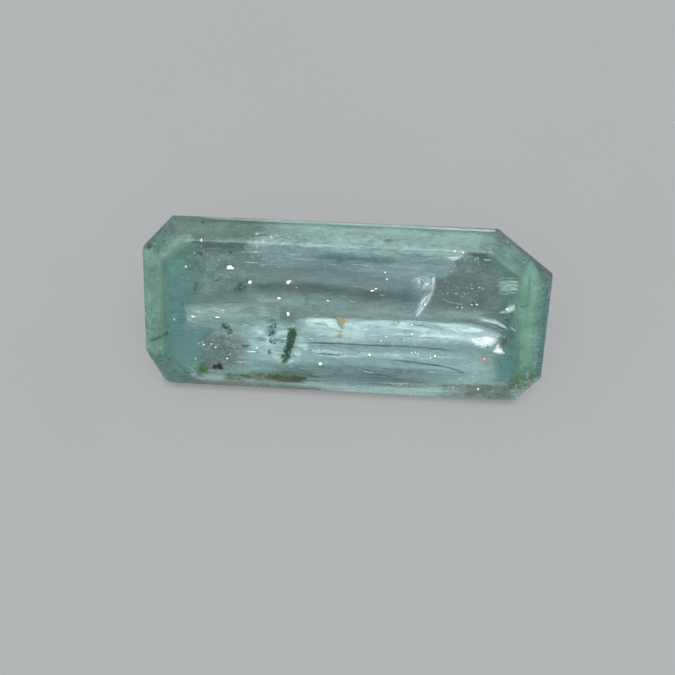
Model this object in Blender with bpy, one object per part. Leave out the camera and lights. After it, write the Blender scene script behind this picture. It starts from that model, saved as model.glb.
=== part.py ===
"""A loose step-cut emerald: one faceted beryl, resting on a pavilion facet.

The stone is ground out of a rough block the way a cutter does it, one flat facet after another,
in the cutter's frame: X along the stone, Y across it, Z out through the table, and the upper
edge of the girdle at Z = 0. It is then turned onto the facet that it lies on, +Z up, with the
origin under the middle of its footprint. Lengths are in millimetres until the mesh is made.
"""

import math

import bmesh
import bpy
from mathutils import Matrix, Vector

# ---------------------------------------------------------------- driving dimensions, millimetres
# The outline has eight straight sides. Each has the direction that it faces, in degrees round
# the table from +X, and its distance from the middle of the stone.
OUTLINE = {
    "right": (-3.4, 5.86),
    "right_far": (51.5, 4.70),
    "far": (90.3, 2.57),
    "left_far": (140.0, 5.655),
    "left": (183.7, 5.97),
    "left_near": (214.3, 5.75),
    "near": (269.6, 2.58),
    "right_near": (315.3, 5.405),
}

GIRDLE_THICKNESS = 0.43
CROWN_HEIGHT = 0.38
CROWN_ANGLE = 40.0

# Pavilion tiers, from the girdle down: the slope of each tier in degrees from the girdle's
# plane, and the depth below the girdle's upper edge at which it gives way to the next one.
FULL_DEPTH = 9.0
END_TIERS = ((70.0, 2.20), (60.0, FULL_DEPTH))
CORNER_TIERS = ((66.0, 2.00), (58.0, FULL_DEPTH))
PAVILION = {
    "near": ((72.0, 1.25), (54.0, 3.00), (42.0, FULL_DEPTH)),
    "far": ((66.0, 1.40), (52.0, FULL_DEPTH)),
    "left": END_TIERS,
    "right": END_TIERS,
    "left_far": CORNER_TIERS,
    "left_near": CORNER_TIERS,
    "right_near": CORNER_TIERS,
    "right_far": CORNER_TIERS,
}

# The facet that the stone lies on: its side of the outline, and its tier.
RESTING_SIDE = "near"
RESTING_TIER = 1

# The rough block that the stone is ground from.
ROUGH_SIZE = (16.0, 9.0, 9.0)
ROUGH_TOP = 1.0

# Worn facet edges.
EDGE_WEAR = 0.02
EDGE_WEAR_SEGMENTS = 2

# Shell-shaped chips along the edges. Each has the spot on the edge that was struck, the
# direction and slope that its hollow faces, half its width, and its depth.
CHIPS = {
    "chip_far_corner": ((4.53, 2.38, -0.02), 51.5, 62.0, 0.17, 0.055),
    "chip_right_corner": ((5.93, 1.30, 0.00), 24.0, 70.0, 0.12, 0.045),
    "chip_right_girdle": ((5.89, 0.70, 0.00), -3.4, 66.0, 0.15, 0.045),
    "chip_near_corner": ((5.05, -2.60, -0.43), 292.0, 112.0, 0.20, 0.060),
    "chip_left_corner": ((-5.24, -2.55, 0.00), 240.0, 72.0, 0.17, 0.065),
    "chip_left_shoulder": ((-5.86, -1.64, 0.00), 200.0, 70.0, 0.15, 0.050),
    "chip_left_girdle": ((-5.93, -0.70, -0.43), 183.7, 108.0, 0.16, 0.040),
    "chip_far_girdle": ((-1.95, 2.58, -0.43), 90.3, 108.0, 0.24, 0.055),
    "chip_far_girdle_edge": ((-1.66, 2.58, -0.43), 84.0, 114.0, 0.14, 0.045),
}
CHIP_SMOOTHNESS = 4
CHIP_RIPPLES = 44.0
CHIP_RIPPLE_HEIGHT = 0.05

MILLIMETRE = 0.001
MERGE_DISTANCE = 0.0005

# ---------------------------------------------------------------- finish
BERYL_COLOUR = (0.40, 0.62, 0.57, 1.0)
BERYL_ROUGHNESS = 0.04
BERYL_IOR = 1.577
BERYL_TRANSMISSION = 0.85


def clear_scene():
    """Removes whatever the scene holds."""
    for item in list(bpy.data.objects):
        bpy.data.objects.remove(item, do_unlink=True)


def beryl_material():
    """Pale bluish green, glassy and see-through."""
    material = bpy.data.materials.new("beryl")
    material.use_nodes = True
    shader = material.node_tree.nodes["Principled BSDF"]
    shader.inputs["Base Color"].default_value = BERYL_COLOUR
    shader.inputs["Roughness"].default_value = BERYL_ROUGHNESS
    shader.inputs["Metallic"].default_value = 0.0
    shader.inputs["IOR"].default_value = BERYL_IOR
    shader.inputs["Transmission Weight"].default_value = BERYL_TRANSMISSION
    return material


def outward(azimuth, slope):
    """The unit normal of a facet that faces azimuth and leans slope degrees from level."""
    turn = math.radians(azimuth)
    lean = math.radians(slope)
    return Vector((math.cos(turn) * math.sin(lean), math.sin(turn) * math.sin(lean), math.cos(lean)))


def grind(stone, point, normal):
    """Grinds away everything outside the plane and leaves a flat facet there."""
    everything = stone.verts[:] + stone.edges[:] + stone.faces[:]
    cut = bmesh.ops.bisect_plane(
        stone, geom=everything, dist=1e-6, plane_co=point, plane_no=normal, clear_outer=True
    )
    rim = [item for item in cut["geom_cut"] if isinstance(item, bmesh.types.BMEdge)]
    if rim:
        bmesh.ops.contextual_create(stone, geom=rim)


def rough_block():
    """The rough, a plain block with its top a little above the table."""
    stone = bmesh.new()
    bmesh.ops.create_cube(stone, size=1.0)
    place = Matrix.Translation((0.0, 0.0, ROUGH_TOP - ROUGH_SIZE[2] / 2.0))
    bmesh.ops.transform(stone, matrix=place @ Matrix.Diagonal((*ROUGH_SIZE, 1.0)), verts=stone.verts)
    return stone


def grind_outline(stone):
    """The eight upright sides, which stay as the girdle."""
    for azimuth, reach in OUTLINE.values():
        side = outward(azimuth, 90.0)
        grind(stone, side * reach, side)


def grind_crown(stone):
    """The table and one sloping facet along each side of it."""
    grind(stone, Vector((0.0, 0.0, CROWN_HEIGHT)), Vector((0.0, 0.0, 1.0)))
    for azimuth, reach in OUTLINE.values():
        grind(stone, outward(azimuth, 90.0) * reach, outward(azimuth, CROWN_ANGLE))


def grind_pavilion(stone):
    """The tiers below the girdle: each starts where the one above it ends."""
    for side, tiers in PAVILION.items():
        azimuth, reach = OUTLINE[side]
        depth = GIRDLE_THICKNESS
        for slope, next_depth in tiers:
            point = outward(azimuth, 90.0) * reach - Vector((0.0, 0.0, depth))
            grind(stone, point, outward(azimuth, 180.0 - slope))
            reach -= (next_depth - depth) / math.tan(math.radians(slope))
            depth = next_depth


def wear_edges(stone):
    """Takes the sharpness off every edge between two facets."""
    bmesh.ops.remove_doubles(stone, verts=stone.verts, dist=MERGE_DISTANCE)
    bmesh.ops.bevel(
        stone,
        geom=stone.edges[:],
        offset=EDGE_WEAR,
        offset_type="OFFSET",
        segments=EDGE_WEAR_SEGMENTS,
        profile=0.5,
        affect="EDGES",
        clamp_overlap=True,
    )
    bmesh.ops.remove_doubles(stone, verts=stone.verts, dist=MERGE_DISTANCE)
    bmesh.ops.recalc_face_normals(stone, faces=stone.faces[:])


def add_object(name, mesh_data, material=None):
    """Puts a bmesh into the scene as a named object, scaled to metres."""
    bmesh.ops.scale(mesh_data, vec=(MILLIMETRE,) * 3, verts=mesh_data.verts)
    mesh = bpy.data.meshes.new(name)
    mesh_data.to_mesh(mesh)
    mesh_data.free()
    item = bpy.data.objects.new(name, mesh)
    bpy.context.collection.objects.link(item)
    if material:
        mesh.materials.append(material)
    return item


def chip_away(stone, name, struck, azimuth, slope, half_width, depth):
    """Cuts one shallow flake out of an edge, with ripples round its middle like a shell's."""
    facing = outward(azimuth, slope)
    radius = (half_width**2 + depth**2) / (2.0 * depth)
    ball = bmesh.new()
    bmesh.ops.create_icosphere(ball, subdivisions=CHIP_SMOOTHNESS, radius=radius)
    for vertex in ball.verts:
        turn = vertex.co.angle(-facing)
        vertex.co *= 1.0 + CHIP_RIPPLE_HEIGHT * depth / radius * math.cos(CHIP_RIPPLES * turn)
    middle = Vector(struck) + facing * (radius - depth)
    bmesh.ops.translate(ball, vec=middle, verts=ball.verts)
    cutter = add_object(name, ball)
    cutter.hide_render = True
    cutter.display_type = "WIRE"
    cutter.parent = stone
    cut = stone.modifiers.new(name, "BOOLEAN")
    cut.operation = "DIFFERENCE"
    cut.solver = "EXACT"
    cut.object = cutter


def lay_down(stone):
    """Turns the stone onto its resting facet, with the origin below the middle of its box."""
    azimuth = OUTLINE[RESTING_SIDE][0]
    slope = PAVILION[RESTING_SIDE][RESTING_TIER][0]
    facing = outward(azimuth, 180.0 - slope)
    stone.rotation_euler = facing.rotation_difference(Vector((0.0, 0.0, -1.0))).to_euler()
    bpy.context.view_layer.update()
    evaluated = stone.evaluated_get(bpy.context.evaluated_depsgraph_get())
    corners = [stone.matrix_world @ vertex.co for vertex in evaluated.data.vertices]
    low = [min(corner[axis] for corner in corners) for axis in range(3)]
    high = [max(corner[axis] for corner in corners) for axis in range(3)]
    stone.location = (-(low[0] + high[0]) / 2.0, -(low[1] + high[1]) / 2.0, -low[2])


def main():
    clear_scene()
    rough = rough_block()
    grind_outline(rough)
    grind_crown(rough)
    grind_pavilion(rough)
    wear_edges(rough)
    stone = add_object("emerald", rough, beryl_material())
    for name, chip in CHIPS.items():
        chip_away(stone, name, *chip)
    lay_down(stone)


main()
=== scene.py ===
# %% [markdown]
# # A pale emerald, looked into through its table
#
# An emerald is green beryl. This one is cut as a long eight-sided step cut and lies on one of
# the facets of its underside, so its broad top facet, the table, leans towards the viewer.
# The flat facets come with the solid. What a solid can't show is how light runs through the
# crystal, and what grew, broke or seeped into it: tubes, veils, cracks, green flakes and rust.
# This lesson adds those, each as its own piece inside the stone.
#
# First the imported solid is loaded.

import math

import bpy
import numpy as np
from mathutils import Matrix, Vector


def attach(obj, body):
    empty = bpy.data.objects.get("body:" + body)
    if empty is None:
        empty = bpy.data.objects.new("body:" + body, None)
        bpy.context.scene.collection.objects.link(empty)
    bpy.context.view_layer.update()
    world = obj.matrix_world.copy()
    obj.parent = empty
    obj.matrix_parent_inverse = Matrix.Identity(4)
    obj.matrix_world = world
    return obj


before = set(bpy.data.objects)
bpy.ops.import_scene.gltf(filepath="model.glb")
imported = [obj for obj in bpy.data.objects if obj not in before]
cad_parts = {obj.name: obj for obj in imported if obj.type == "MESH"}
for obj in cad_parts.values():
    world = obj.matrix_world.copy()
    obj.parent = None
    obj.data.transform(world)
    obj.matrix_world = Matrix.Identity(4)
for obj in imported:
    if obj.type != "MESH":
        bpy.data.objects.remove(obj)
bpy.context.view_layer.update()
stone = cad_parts["emerald"]
MM = 0.001

# %% [markdown]
# ## The stone's own directions
#
# Everything inside the crystal is placed from its table: so far along it, so far across it and
# so deep below it. Those directions could be typed in, but the mesh already holds them. The
# table is the largest flat facet, so the triangles that face the same way as the largest
# triangle are the table, and their middle, weighted by area, is its middle.
#
# The other large triangles are kept as walls. The stone is convex, so a point is inside when it
# is behind every wall, and that one test keeps each piece inside the crystal.

# %% Directions and walls
SAME_WAY = 0.9998
SMALLEST_WALL = 0.02 * MM * MM


def read_triangles(mesh):
    """Normals, areas and middles of a mesh's triangles, as arrays."""
    count = len(mesh.polygons)
    normals = np.empty(count * 3)
    areas = np.empty(count)
    middles = np.empty(count * 3)
    mesh.polygons.foreach_get("normal", normals)
    mesh.polygons.foreach_get("area", areas)
    mesh.polygons.foreach_get("center", middles)
    return normals.reshape(-1, 3), areas, middles.reshape(-1, 3)


def unit(vector):
    """The vector divided by its length."""
    return vector / np.linalg.norm(vector)


normals, areas, middles = read_triangles(stone.data)
on_table = normals @ normals[areas.argmax()] > SAME_WAY
facing = unit((normals[on_table] * areas[on_table, None]).sum(axis=0))
table_middle = (middles[on_table] * areas[on_table, None]).sum(axis=0) / areas[on_table].sum()
along = unit(np.array([1.0, 0.0, 0.0]) - facing[0] * facing)
across = np.cross(facing, along)

large = areas > SMALLEST_WALL
wall_normals = normals[large]
wall_reach = (wall_normals * middles[large]).sum(axis=1)
print("table faces", facing.round(3), "middle, mm", (table_middle / MM).round(3))
print("walls:", large.sum())

# %% [markdown]
# ## Where the eye looks in
#
# The camera looks down on the stone at 57 degrees, turned a little about its own axis. A long
# lens from further off is used because a short one would splay the two ends apart.
#
# The camera's place is worked out from the table: its middle should show a little off the
# middle of the picture, and a millimetre should take up a known number of pixels.

# %% The camera
CAMERA_ELEVATION = 57.0
CAMERA_ROLL = 2.7
LENS = 400.0
SENSOR = 36.0
PICTURE_SIDE = 675
MM_PER_PIXEL = 0.0293
TABLE_MIDDLE_IN_PICTURE = (344.8, 314.8)
NEAR_CLIP = 0.01
FAR_CLIP = 10.0

elevation = math.radians(CAMERA_ELEVATION)
roll = math.radians(CAMERA_ROLL)
to_camera = Vector((0.0, -math.cos(elevation), math.sin(elevation)))
level = Vector((1.0, 0.0, 0.0))
upright = to_camera.cross(level)
picture_right = level * math.cos(roll) + upright * math.sin(roll)
picture_up = upright * math.cos(roll) - level * math.sin(roll)

off_right = (TABLE_MIDDLE_IN_PICTURE[0] - PICTURE_SIDE / 2.0) * MM_PER_PIXEL * MM
off_up = (PICTURE_SIDE / 2.0 - TABLE_MIDDLE_IN_PICTURE[1]) * MM_PER_PIXEL * MM
aim = Vector(table_middle) - picture_right * off_right - picture_up * off_up
distance = LENS / SENSOR * PICTURE_SIDE * MM_PER_PIXEL * MM

camera_data = bpy.data.cameras.new("camera")
camera_data.lens = LENS
camera_data.sensor_width = SENSOR
camera_data.clip_start = NEAR_CLIP
camera_data.clip_end = FAR_CLIP
camera = bpy.data.objects.new("camera", camera_data)
bpy.context.collection.objects.link(camera)
turn = Matrix((picture_right, picture_up, to_camera)).transposed().to_4x4()
camera.matrix_world = Matrix.Translation(aim + to_camera * distance) @ turn
bpy.context.scene.camera = camera
print("camera distance, mm:", round(distance / MM, 1))

# %% [markdown]
# ## Places inside the crystal
#
# Light bends as it enters beryl, by Snell's law: the part of a direction that runs along the
# table is divided by the refractive index, and the rest of the unit length goes into depth.
# The bent sight line says where a thing at some depth shows on the table. So a piece is placed
# by where it is seen, and its depth can be changed without it seeming to move.

# %% Places inside the crystal
BERYL_INDEX = 1.577


def bent_inside(direction):
    """Snell's law: the part of a unit direction along the table, divided by the index, and the
    rest of its length straight through the table."""
    direction = np.array(direction)
    flat = (direction - (direction @ facing) * facing) / BERYL_INDEX
    return flat + math.sqrt(1.0 - flat @ flat) * facing


MARK_ORIGIN = (-0.080, -0.068)
sight = bent_inside(to_camera)
sight_per_depth = sight / (sight @ facing)
mark_origin = table_middle + (MARK_ORIGIN[0] * along + MARK_ORIGIN[1] * across) * MM


def spot(points):
    """World place of points (along, across, depth) in mm. The first two say where a point is
    seen on the table, counted from the mark origin, a spot on the table close to its middle.
    The point lies that deep below it, down the sight line."""
    points = np.asarray(points, dtype=float) * MM
    in_table = points[..., 0:1] * along + points[..., 1:2] * across
    return mark_origin + in_table - points[..., 2:3] * sight_per_depth


print("sight line drifts", round(float(sight_per_depth @ across), 3), "mm for each mm of depth")

# %% [markdown]
# ## Short calls for node trees
#
# A finish is a tree of nodes, and so is the sky. Built by hand in the editor a tree is a
# picture, and built here by short calls, one for each sum, it reads like a line of arithmetic.
# Most of a noise lies in its middling values, so it is those that are stretched over the range
# wanted.

# %% Short calls for node trees
MIDDLING = (0.3, 0.7)


def add_node(tree, kind, values=None, **settings):
    """Adds one node. Each of values sets a socket to a number, or links it to another socket."""
    made = tree.nodes.new(kind)
    for name, value in settings.items():
        setattr(made, name, value)
    for socket, value in (values or {}).items():
        if isinstance(value, bpy.types.NodeSocket):
            tree.links.new(value, made.inputs[socket])
        else:
            made.inputs[socket].default_value = value
    return made


def new_finish(name):
    """A new material, its node tree and its shader."""
    material = bpy.data.materials.new(name)
    material.use_nodes = True
    return material, material.node_tree, material.node_tree.nodes["Principled BSDF"]


def rgba(red, green, blue):
    """A colour with full cover."""
    return (red, green, blue, 1.0)


def remap(tree, value, from_range, to_range, smooth=False):
    """Maps a number from one range to another and clamps it there."""
    values = {
        "Value": value,
        "From Min": from_range[0],
        "From Max": from_range[1],
        "To Min": to_range[0],
        "To Max": to_range[1],
    }
    kind = "SMOOTHSTEP" if smooth else "LINEAR"
    return add_node(tree, "ShaderNodeMapRange", values, interpolation_type=kind).outputs[0]


def calculate(tree, operation, first, second):
    """One sum on two numbers."""
    return add_node(tree, "ShaderNodeMath", {0: first, 1: second}, operation=operation).outputs[0]


def mix_colours(tree, share, first, second):
    """A colour between two: the first where share is 0, the second where it is 1."""
    values = {0: share, 6: first, 7: second}
    return add_node(tree, "ShaderNodeMix", values, data_type="RGBA").outputs[2]


def grain(tree, per_mm, detail=5.0, coarse=0.6, slant=0.0):
    """Noise in the stone's own place, with per_mm features along, across and into it. Slant
    turns the first of those directions away from the length, in degrees round the table."""
    place = add_node(tree, "ShaderNodeTexCoord")
    lean = math.radians(slant)
    streak = Vector(along * math.cos(lean) + across * math.sin(lean))
    values = {
        "Vector": place.outputs["Object"],
        "Rotation": Vector((1.0, 0.0, 0.0)).rotation_difference(streak).to_euler(),
        "Scale": tuple(MM / value for value in per_mm),
    }
    scaled = add_node(tree, "ShaderNodeMapping", values, vector_type="TEXTURE")
    values = {"Vector": scaled.outputs[0], "Scale": 1.0, "Detail": detail, "Roughness": coarse}
    return add_node(tree, "ShaderNodeTexNoise", values).outputs["Fac"]


print("a noise is read from", MIDDLING[0], "to", MIDDLING[1])

# %% [markdown]
# ## A soft dome of light
#
# A gem's brightness is mostly its surroundings, mirrored by the facets below. The sky here is a
# soft dome, dim near the horizon and bright overhead, as in a tent of white cloth. A map of a
# real room could do this, but a gradient is plainer and gives each facet an even tone.

# %% The dome
DOME_COLOUR = (0.97, 0.99, 1.0, 1.0)
DOME_HEIGHTS = (0.2, 1.0)
DOME_STRENGTHS = (0.48, 1.04)

world = bpy.data.worlds.new("dome")
world.use_nodes = True
bpy.context.scene.world = world
sky = world.node_tree
direction = add_node(sky, "ShaderNodeTexCoord")
height = add_node(sky, "ShaderNodeSeparateXYZ", {0: direction.outputs["Generated"]})
strength = remap(sky, height.outputs["Z"], DOME_HEIGHTS, DOME_STRENGTHS, smooth=True)
background = sky.nodes["Background"]
background.inputs["Color"].default_value = DOME_COLOUR
sky.links.new(strength, background.inputs["Strength"])
print("dome strength from", DOME_STRENGTHS[0], "low down to", DOME_STRENGTHS[1], "overhead")

# %% [markdown]
# ## Two lamps
#
# A small panel overhead lights up whatever lies like a mirror inside the stone. It hangs a
# little to the front, because straight overhead the far part of the crown would mirror it and
# go grey. A broad window in front lights the veils from the viewer's side.
#
# Light has to pass many facets before it leaves the stone, so the limits on bounces are high.

# %% The lamps
LAMPS = {
    "overhead_panel": ((0.0, -0.07, 0.30), (0.11, 0.07), 6.5),
    "front_window": ((-0.03, -0.26, 0.36), (0.34, 0.20), 3.2),
}
for name, (place, size, radiance) in LAMPS.items():
    lamp_data = bpy.data.lights.new(name, "AREA")
    lamp_data.shape = "RECTANGLE"
    lamp_data.size = size[0]
    lamp_data.size_y = size[1]
    lamp_data.energy = math.pi * size[0] * size[1] * radiance
    lamp = bpy.data.objects.new(name, lamp_data)
    lamp.location = place
    lamp.rotation_euler = (-Vector(place)).to_track_quat("-Z", "Y").to_euler()
    bpy.context.collection.objects.link(lamp)
    print(name, "W:", round(lamp_data.energy, 3))

settings = bpy.context.scene
settings.view_settings.view_transform = "Standard"
settings.cycles.max_bounces = 24
settings.cycles.transmission_bounces = 24
settings.cycles.glossy_bounces = 16
settings.cycles.transparent_max_bounces = 64

# %% [markdown]
# ## Meshes from arrays
#
# Every piece below is a closed skin wrapped round rings of points: a tube has its rings along a
# path, a pebble from pole to pole, and a film from the middle of its front, out over its rim,
# to the middle of its back. So one table of faces serves them all, and many copies are joined
# into one piece by shifting that table. The points come from array sums, with no loop over
# them, and each carries a number, from 0 in the middle to 1 at the rim, for soft edges.

# %% Closed skins of rings


def ring_faces(rings, sides, copies):
    """Quads between neighbouring rings and triangles to the two poles, for skins stored one
    after another as rings * sides points, then the first pole, then the last pole."""
    row = np.arange(rings - 1)[:, None] * sides
    side = np.arange(sides)[None, :]
    following = (side + 1) % sides
    next_row = row + sides
    quads = np.stack([row + side, row + following, next_row + following, next_row + side], -1)
    first = rings * sides
    last_row = (rings - 1) * sides
    near = np.stack([np.full(sides, first), following[0], side[0]], -1)
    far = np.stack([np.full(sides, first + 1), last_row + side[0], last_row + following[0]], -1)
    shift = np.arange(copies)[:, None, None] * (rings * sides + 2)
    quads = (quads.reshape(1, -1, 4) + shift).reshape(-1, 4)
    triangles = (np.concatenate([near, far])[None] + shift).reshape(-1, 3)
    return quads, triangles


def skin(ring_points, first_pole, last_pole, rim, at_poles=0.0):
    """One set of closed skins: ring_points (copies, rings, sides, 3), the two poles (copies, 3),
    rim (copies, rings), the number that each ring carries, and the number at the poles."""
    copies, rings, sides, _ = ring_points.shape
    points = np.concatenate(
        [ring_points.reshape(copies, -1, 3), first_pole[:, None], last_pole[:, None]], axis=1
    )
    on_rings = np.repeat(rim, sides, axis=1)
    carried = np.concatenate([on_rings, np.full((copies, 2), at_poles)], axis=1)
    return points.reshape(-1, 3), carried.reshape(-1), ring_faces(rings, sides, copies)


print("a skin of 4 rings of 8 points has", len(ring_faces(4, 8, 1)[0]), "quads and 16 triangles")

# %% [markdown]
# ## Keeping inside the stone
#
# Points are drawn and thrown freely, so some land outside. Cutting them off with a Boolean would
# leave open or ragged pieces. Instead each such point is moved straight back behind the facet
# that it is furthest beyond, a few times over, because leaving one facet may mean crossing
# another near an edge.
#
# A film that crosses a facet shows a hard line there. So a piece can also be settled: it sinks
# down the sight line until it is a set depth below every facet that faces the eye. It is still
# seen in the same place, and its skin follows the crown as a lining follows a lid.

# %% Kept inside the stone
CLEARANCE = 0.012 * MM
TUCKS = 4


def tuck_inside(points, clearance=CLEARANCE):
    """Moves points that stand outside a wall straight back behind it, the worst wall first."""
    points = points.copy()
    for _ in range(TUCKS):
        beyond = points @ wall_normals.T - wall_reach + clearance
        worst = beyond.argmax(axis=1)
        amount = np.maximum(beyond.max(axis=1), 0.0)
        points -= wall_normals[worst] * amount[:, None]
    return points


FACES_THE_EYE = 0.4


def settle(points, gap):
    """Moves points down the sight line until they are gap below each facet that faces the eye:
    by the most that any such facet is short of that, divided by the rate it falls behind at."""
    rate = wall_normals @ sight_per_depth
    towards = rate > FACES_THE_EYE
    short = points @ wall_normals[towards].T - wall_reach[towards] + gap
    needed = np.maximum((short / rate[towards]).max(axis=1), 0.0)
    return points - needed[:, None] * sight_per_depth


print("facets that face the eye:", int((wall_normals @ sight_per_depth > FACES_THE_EYE).sum()))

# %% [markdown]
# ## Pieces that ride on the stone
#
# Every piece goes into the scene in the same way: its skins are joined, kept inside, and made
# one smooth mesh with the object at the origin, so that patterns on Object coordinates stay
# put. It rides on the body called root, with the stone, and gets the finish that it is given.

# %% Pieces that ride on the stone


def add_piece(name, skins, material):
    """Joins skins into one mesh object that rides on the stone and has the finish it is given."""
    vertices = []
    rims = []
    quads = []
    triangles = []
    count = 0
    for points, rim, (four, three) in skins:
        vertices.append(points)
        rims.append(rim)
        quads.append(four + count)
        triangles.append(three + count)
        count += len(points)
    vertices = tuck_inside(np.concatenate(vertices))
    quads = np.concatenate(quads)
    triangles = np.concatenate(triangles)
    mesh = bpy.data.meshes.new(name)
    mesh.from_pydata(vertices.tolist(), [], quads.tolist() + triangles.tolist())
    mesh.attributes.new("rim", "FLOAT", "POINT").data.foreach_set("value", np.concatenate(rims))
    mesh.polygons.foreach_set("use_smooth", np.ones(len(mesh.polygons), dtype=bool))
    mesh.materials.append(material)
    piece = bpy.data.objects.new(name, mesh)
    bpy.context.collection.objects.link(piece)
    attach(piece, "root")
    print(name, len(vertices), "points", len(quads) * 2 + len(triangles), "triangles")
    return piece


# %% [markdown]
# ## Tubes
#
# A tube is what a curve with a bevel would give. Hundreds of curves would be slow to handle, so
# all the tubes of a kind are one mesh, and those that come in hundreds have few sides.

# %% Tubes


def tubes(paths, radii, sides=5, under=0.0):
    """Closed tapered tubes. A point is the path's point plus the radius times the cosine of its
    turn along one direction square to the path and the sine along the other. The path is
    settled that many millimetres under the facets."""
    centres = settle(spot(paths).reshape(-1, 3), under * MM).reshape(paths.shape)
    heading = np.gradient(centres, axis=1)
    heading /= np.linalg.norm(heading, axis=2, keepdims=True)
    sideways = np.cross(heading, facing)
    sideways /= np.linalg.norm(sideways, axis=2, keepdims=True)
    outward = np.cross(heading, sideways)
    turns = np.arange(sides) / sides * math.tau
    cosine = np.cos(turns)[:, None]
    sine = np.sin(turns)[:, None]
    round_way = sideways[:, :, None] * cosine + outward[:, :, None] * sine
    radii = np.asarray(radii) * MM
    rings = centres[:, :, None] + round_way * radii[:, :, None, None]
    step = heading * radii[:, :, None]
    stations = np.linspace(-1.0, 1.0, centres.shape[1])
    rim = np.tile(stations**2, (len(centres), 1))
    return skin(rings, centres[:, 0] - step[:, 0], centres[:, -1] + step[:, -1], rim, 1.0)


two_paths = np.linspace((0.0, 0.0, 1.0), (1.0, 0.0, 1.0), 6)[None].repeat(2, axis=0)
print("two tubes of 6 stations:", len(tubes(two_paths, np.full((2, 6), 0.01))[0]), "points")

# %% [markdown]
# ## Pebbles
#
# A pebble is a ball that is stretched, turned and pushed in and out. It serves for flakes,
# grains, bubbles and, made very flat, for glints. Spheres scattered by instancing would be
# lighter, but an export drops instances and keeps meshes.

# %% Pebbles


def own_axes(turns, normal):
    """Two directions square to normal, the first turned that many radians from the length."""
    first = along - (along @ normal) * normal
    first = unit(first)
    second = np.cross(normal, first)
    cosine = np.cos(turns)[:, None]
    sine = np.sin(turns)[:, None]
    return first * cosine + second * sine, second * cosine - first * sine


LUMPS_ROUND = 2.0
LUMPS_UP = 3.0


def pebbles(centres, sizes, turns, lumps, draw, normal=facing, under=0.0, rings=4, sides=8):
    """Closed lumpy pebbles. Each point is the centre plus the three half sizes times a point of
    the unit ball, which is pushed out or in by a wave of its two angles. The centres are
    settled that many millimetres under the facets."""
    centres = settle(spot(centres), under * MM)
    count = len(centres)
    sizes = np.broadcast_to(np.asarray(sizes, dtype=float) * MM, (count, 3))
    first, second = own_axes(np.broadcast_to(turns, (count,)), normal)
    latitude = (np.arange(rings) + 1.0) / (rings + 1.0) * math.pi
    longitude = np.arange(sides) / sides * math.tau
    phase = draw.uniform(0.0, math.tau, (count, 2))
    wave = np.cos(LUMPS_ROUND * longitude[None, None, :] + phase[:, 0, None, None])
    wave = wave * np.sin(LUMPS_UP * latitude[None, :, None] + phase[:, 1, None, None])
    swell = 1.0 + lumps * wave
    ball_x = np.sin(latitude)[None, :, None] * np.cos(longitude) * swell
    ball_y = np.sin(latitude)[None, :, None] * np.sin(longitude) * swell
    ball_z = -np.cos(latitude)[None, :, None] * swell
    rings_at = (
        centres[:, None, None]
        + (sizes[:, 0, None, None] * ball_x)[..., None] * first[:, None, None]
        + (sizes[:, 1, None, None] * ball_y)[..., None] * second[:, None, None]
        + (sizes[:, 2, None, None] * ball_z)[..., None] * normal
    )
    pole = sizes[:, 2:3] * normal
    rim = np.tile(np.abs(np.cos(latitude)), (count, 1))
    return skin(rings_at, centres - pole, centres + pole, rim, 1.0)


print("waves over a pebble:", LUMPS_ROUND, "round it,", LUMPS_UP / 2.0, "from pole to pole")

# %% [markdown]
# ## Outlines
#
# Cracks and veils have ragged shapes. Each is drawn by a few corners, as one would sketch a
# cloud, and the outline is then rounded and wobbled a little, so that it needn't be typed in
# point by point.

# %% An outline from its corners
SLOW_WAVES = (3, 12)


def loop_through(corners, count, rounding, wobble, draw):
    """A closed outline of count points: straight runs between the corners at even steps, then
    averaged with its neighbours rounding times, then shifted in and out by a few slow waves."""
    corners = np.asarray(corners, dtype=float)
    closed = np.concatenate([corners, corners[:1]])
    length = np.concatenate([[0.0], np.cumsum(np.linalg.norm(np.diff(closed, axis=0), axis=1))])
    wanted = np.arange(count) / count * length[-1]
    outline = np.stack([np.interp(wanted, length, closed[:, axis]) for axis in range(3)], axis=1)
    for _ in range(rounding):
        before = np.roll(outline, 1, axis=0)
        after = np.roll(outline, -1, axis=0)
        outline = (before + 2.0 * outline + after) / 4.0
    turn = np.arange(count) / count * math.tau
    waves = np.arange(*SLOW_WAVES)
    phases = draw.uniform(0.0, math.tau, len(waves))
    shift = (np.cos(turn[:, None] * waves + phases) / waves).sum(axis=1) * wobble
    middle = outline.mean(axis=0)
    return middle + (outline - middle) * (1.0 + shift[:, None])


print("slow waves round an outline:", SLOW_WAVES[0], "to", SLOW_WAVES[1] - 1)

# %% [markdown]
# ## Films
#
# A film fills an outline. Rings of the outline shrink towards a core line, so a long film is
# thickest along its middle and not at one point. A single plane with a mask would be simpler,
# but it would be an open sheet with no thickness, and couldn't follow a facet.

# %% A film inside an outline
SHORTEST_CORE = 0.05


def core_line(outline):
    """The middle line of an outline: down its longest direction, and as short of its two ends
    as its sides are from its middle."""
    middle = outline.mean(axis=0)
    axes = np.linalg.eigh(np.cov((outline - middle).T))[1]
    reach = np.abs((outline - middle) @ axes).max(axis=0)
    keep = max(reach[2] - reach[1], SHORTEST_CORE * reach[2])
    return middle - axes[:, 2] * keep, middle + axes[:, 2] * keep


def nearest_on(core, points):
    """For each point, the nearest point of the straight core line."""
    start, end = np.asarray(core, dtype=float)
    way = end - start
    share = np.clip((points - start) @ way / (way @ way), 0.0, 1.0)
    return start + share[:, None] * way


VEIL_THICKNESS = 0.03 * MM
INNERMOST = 0.02
RIPPLE_SWING = 0.6


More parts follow.
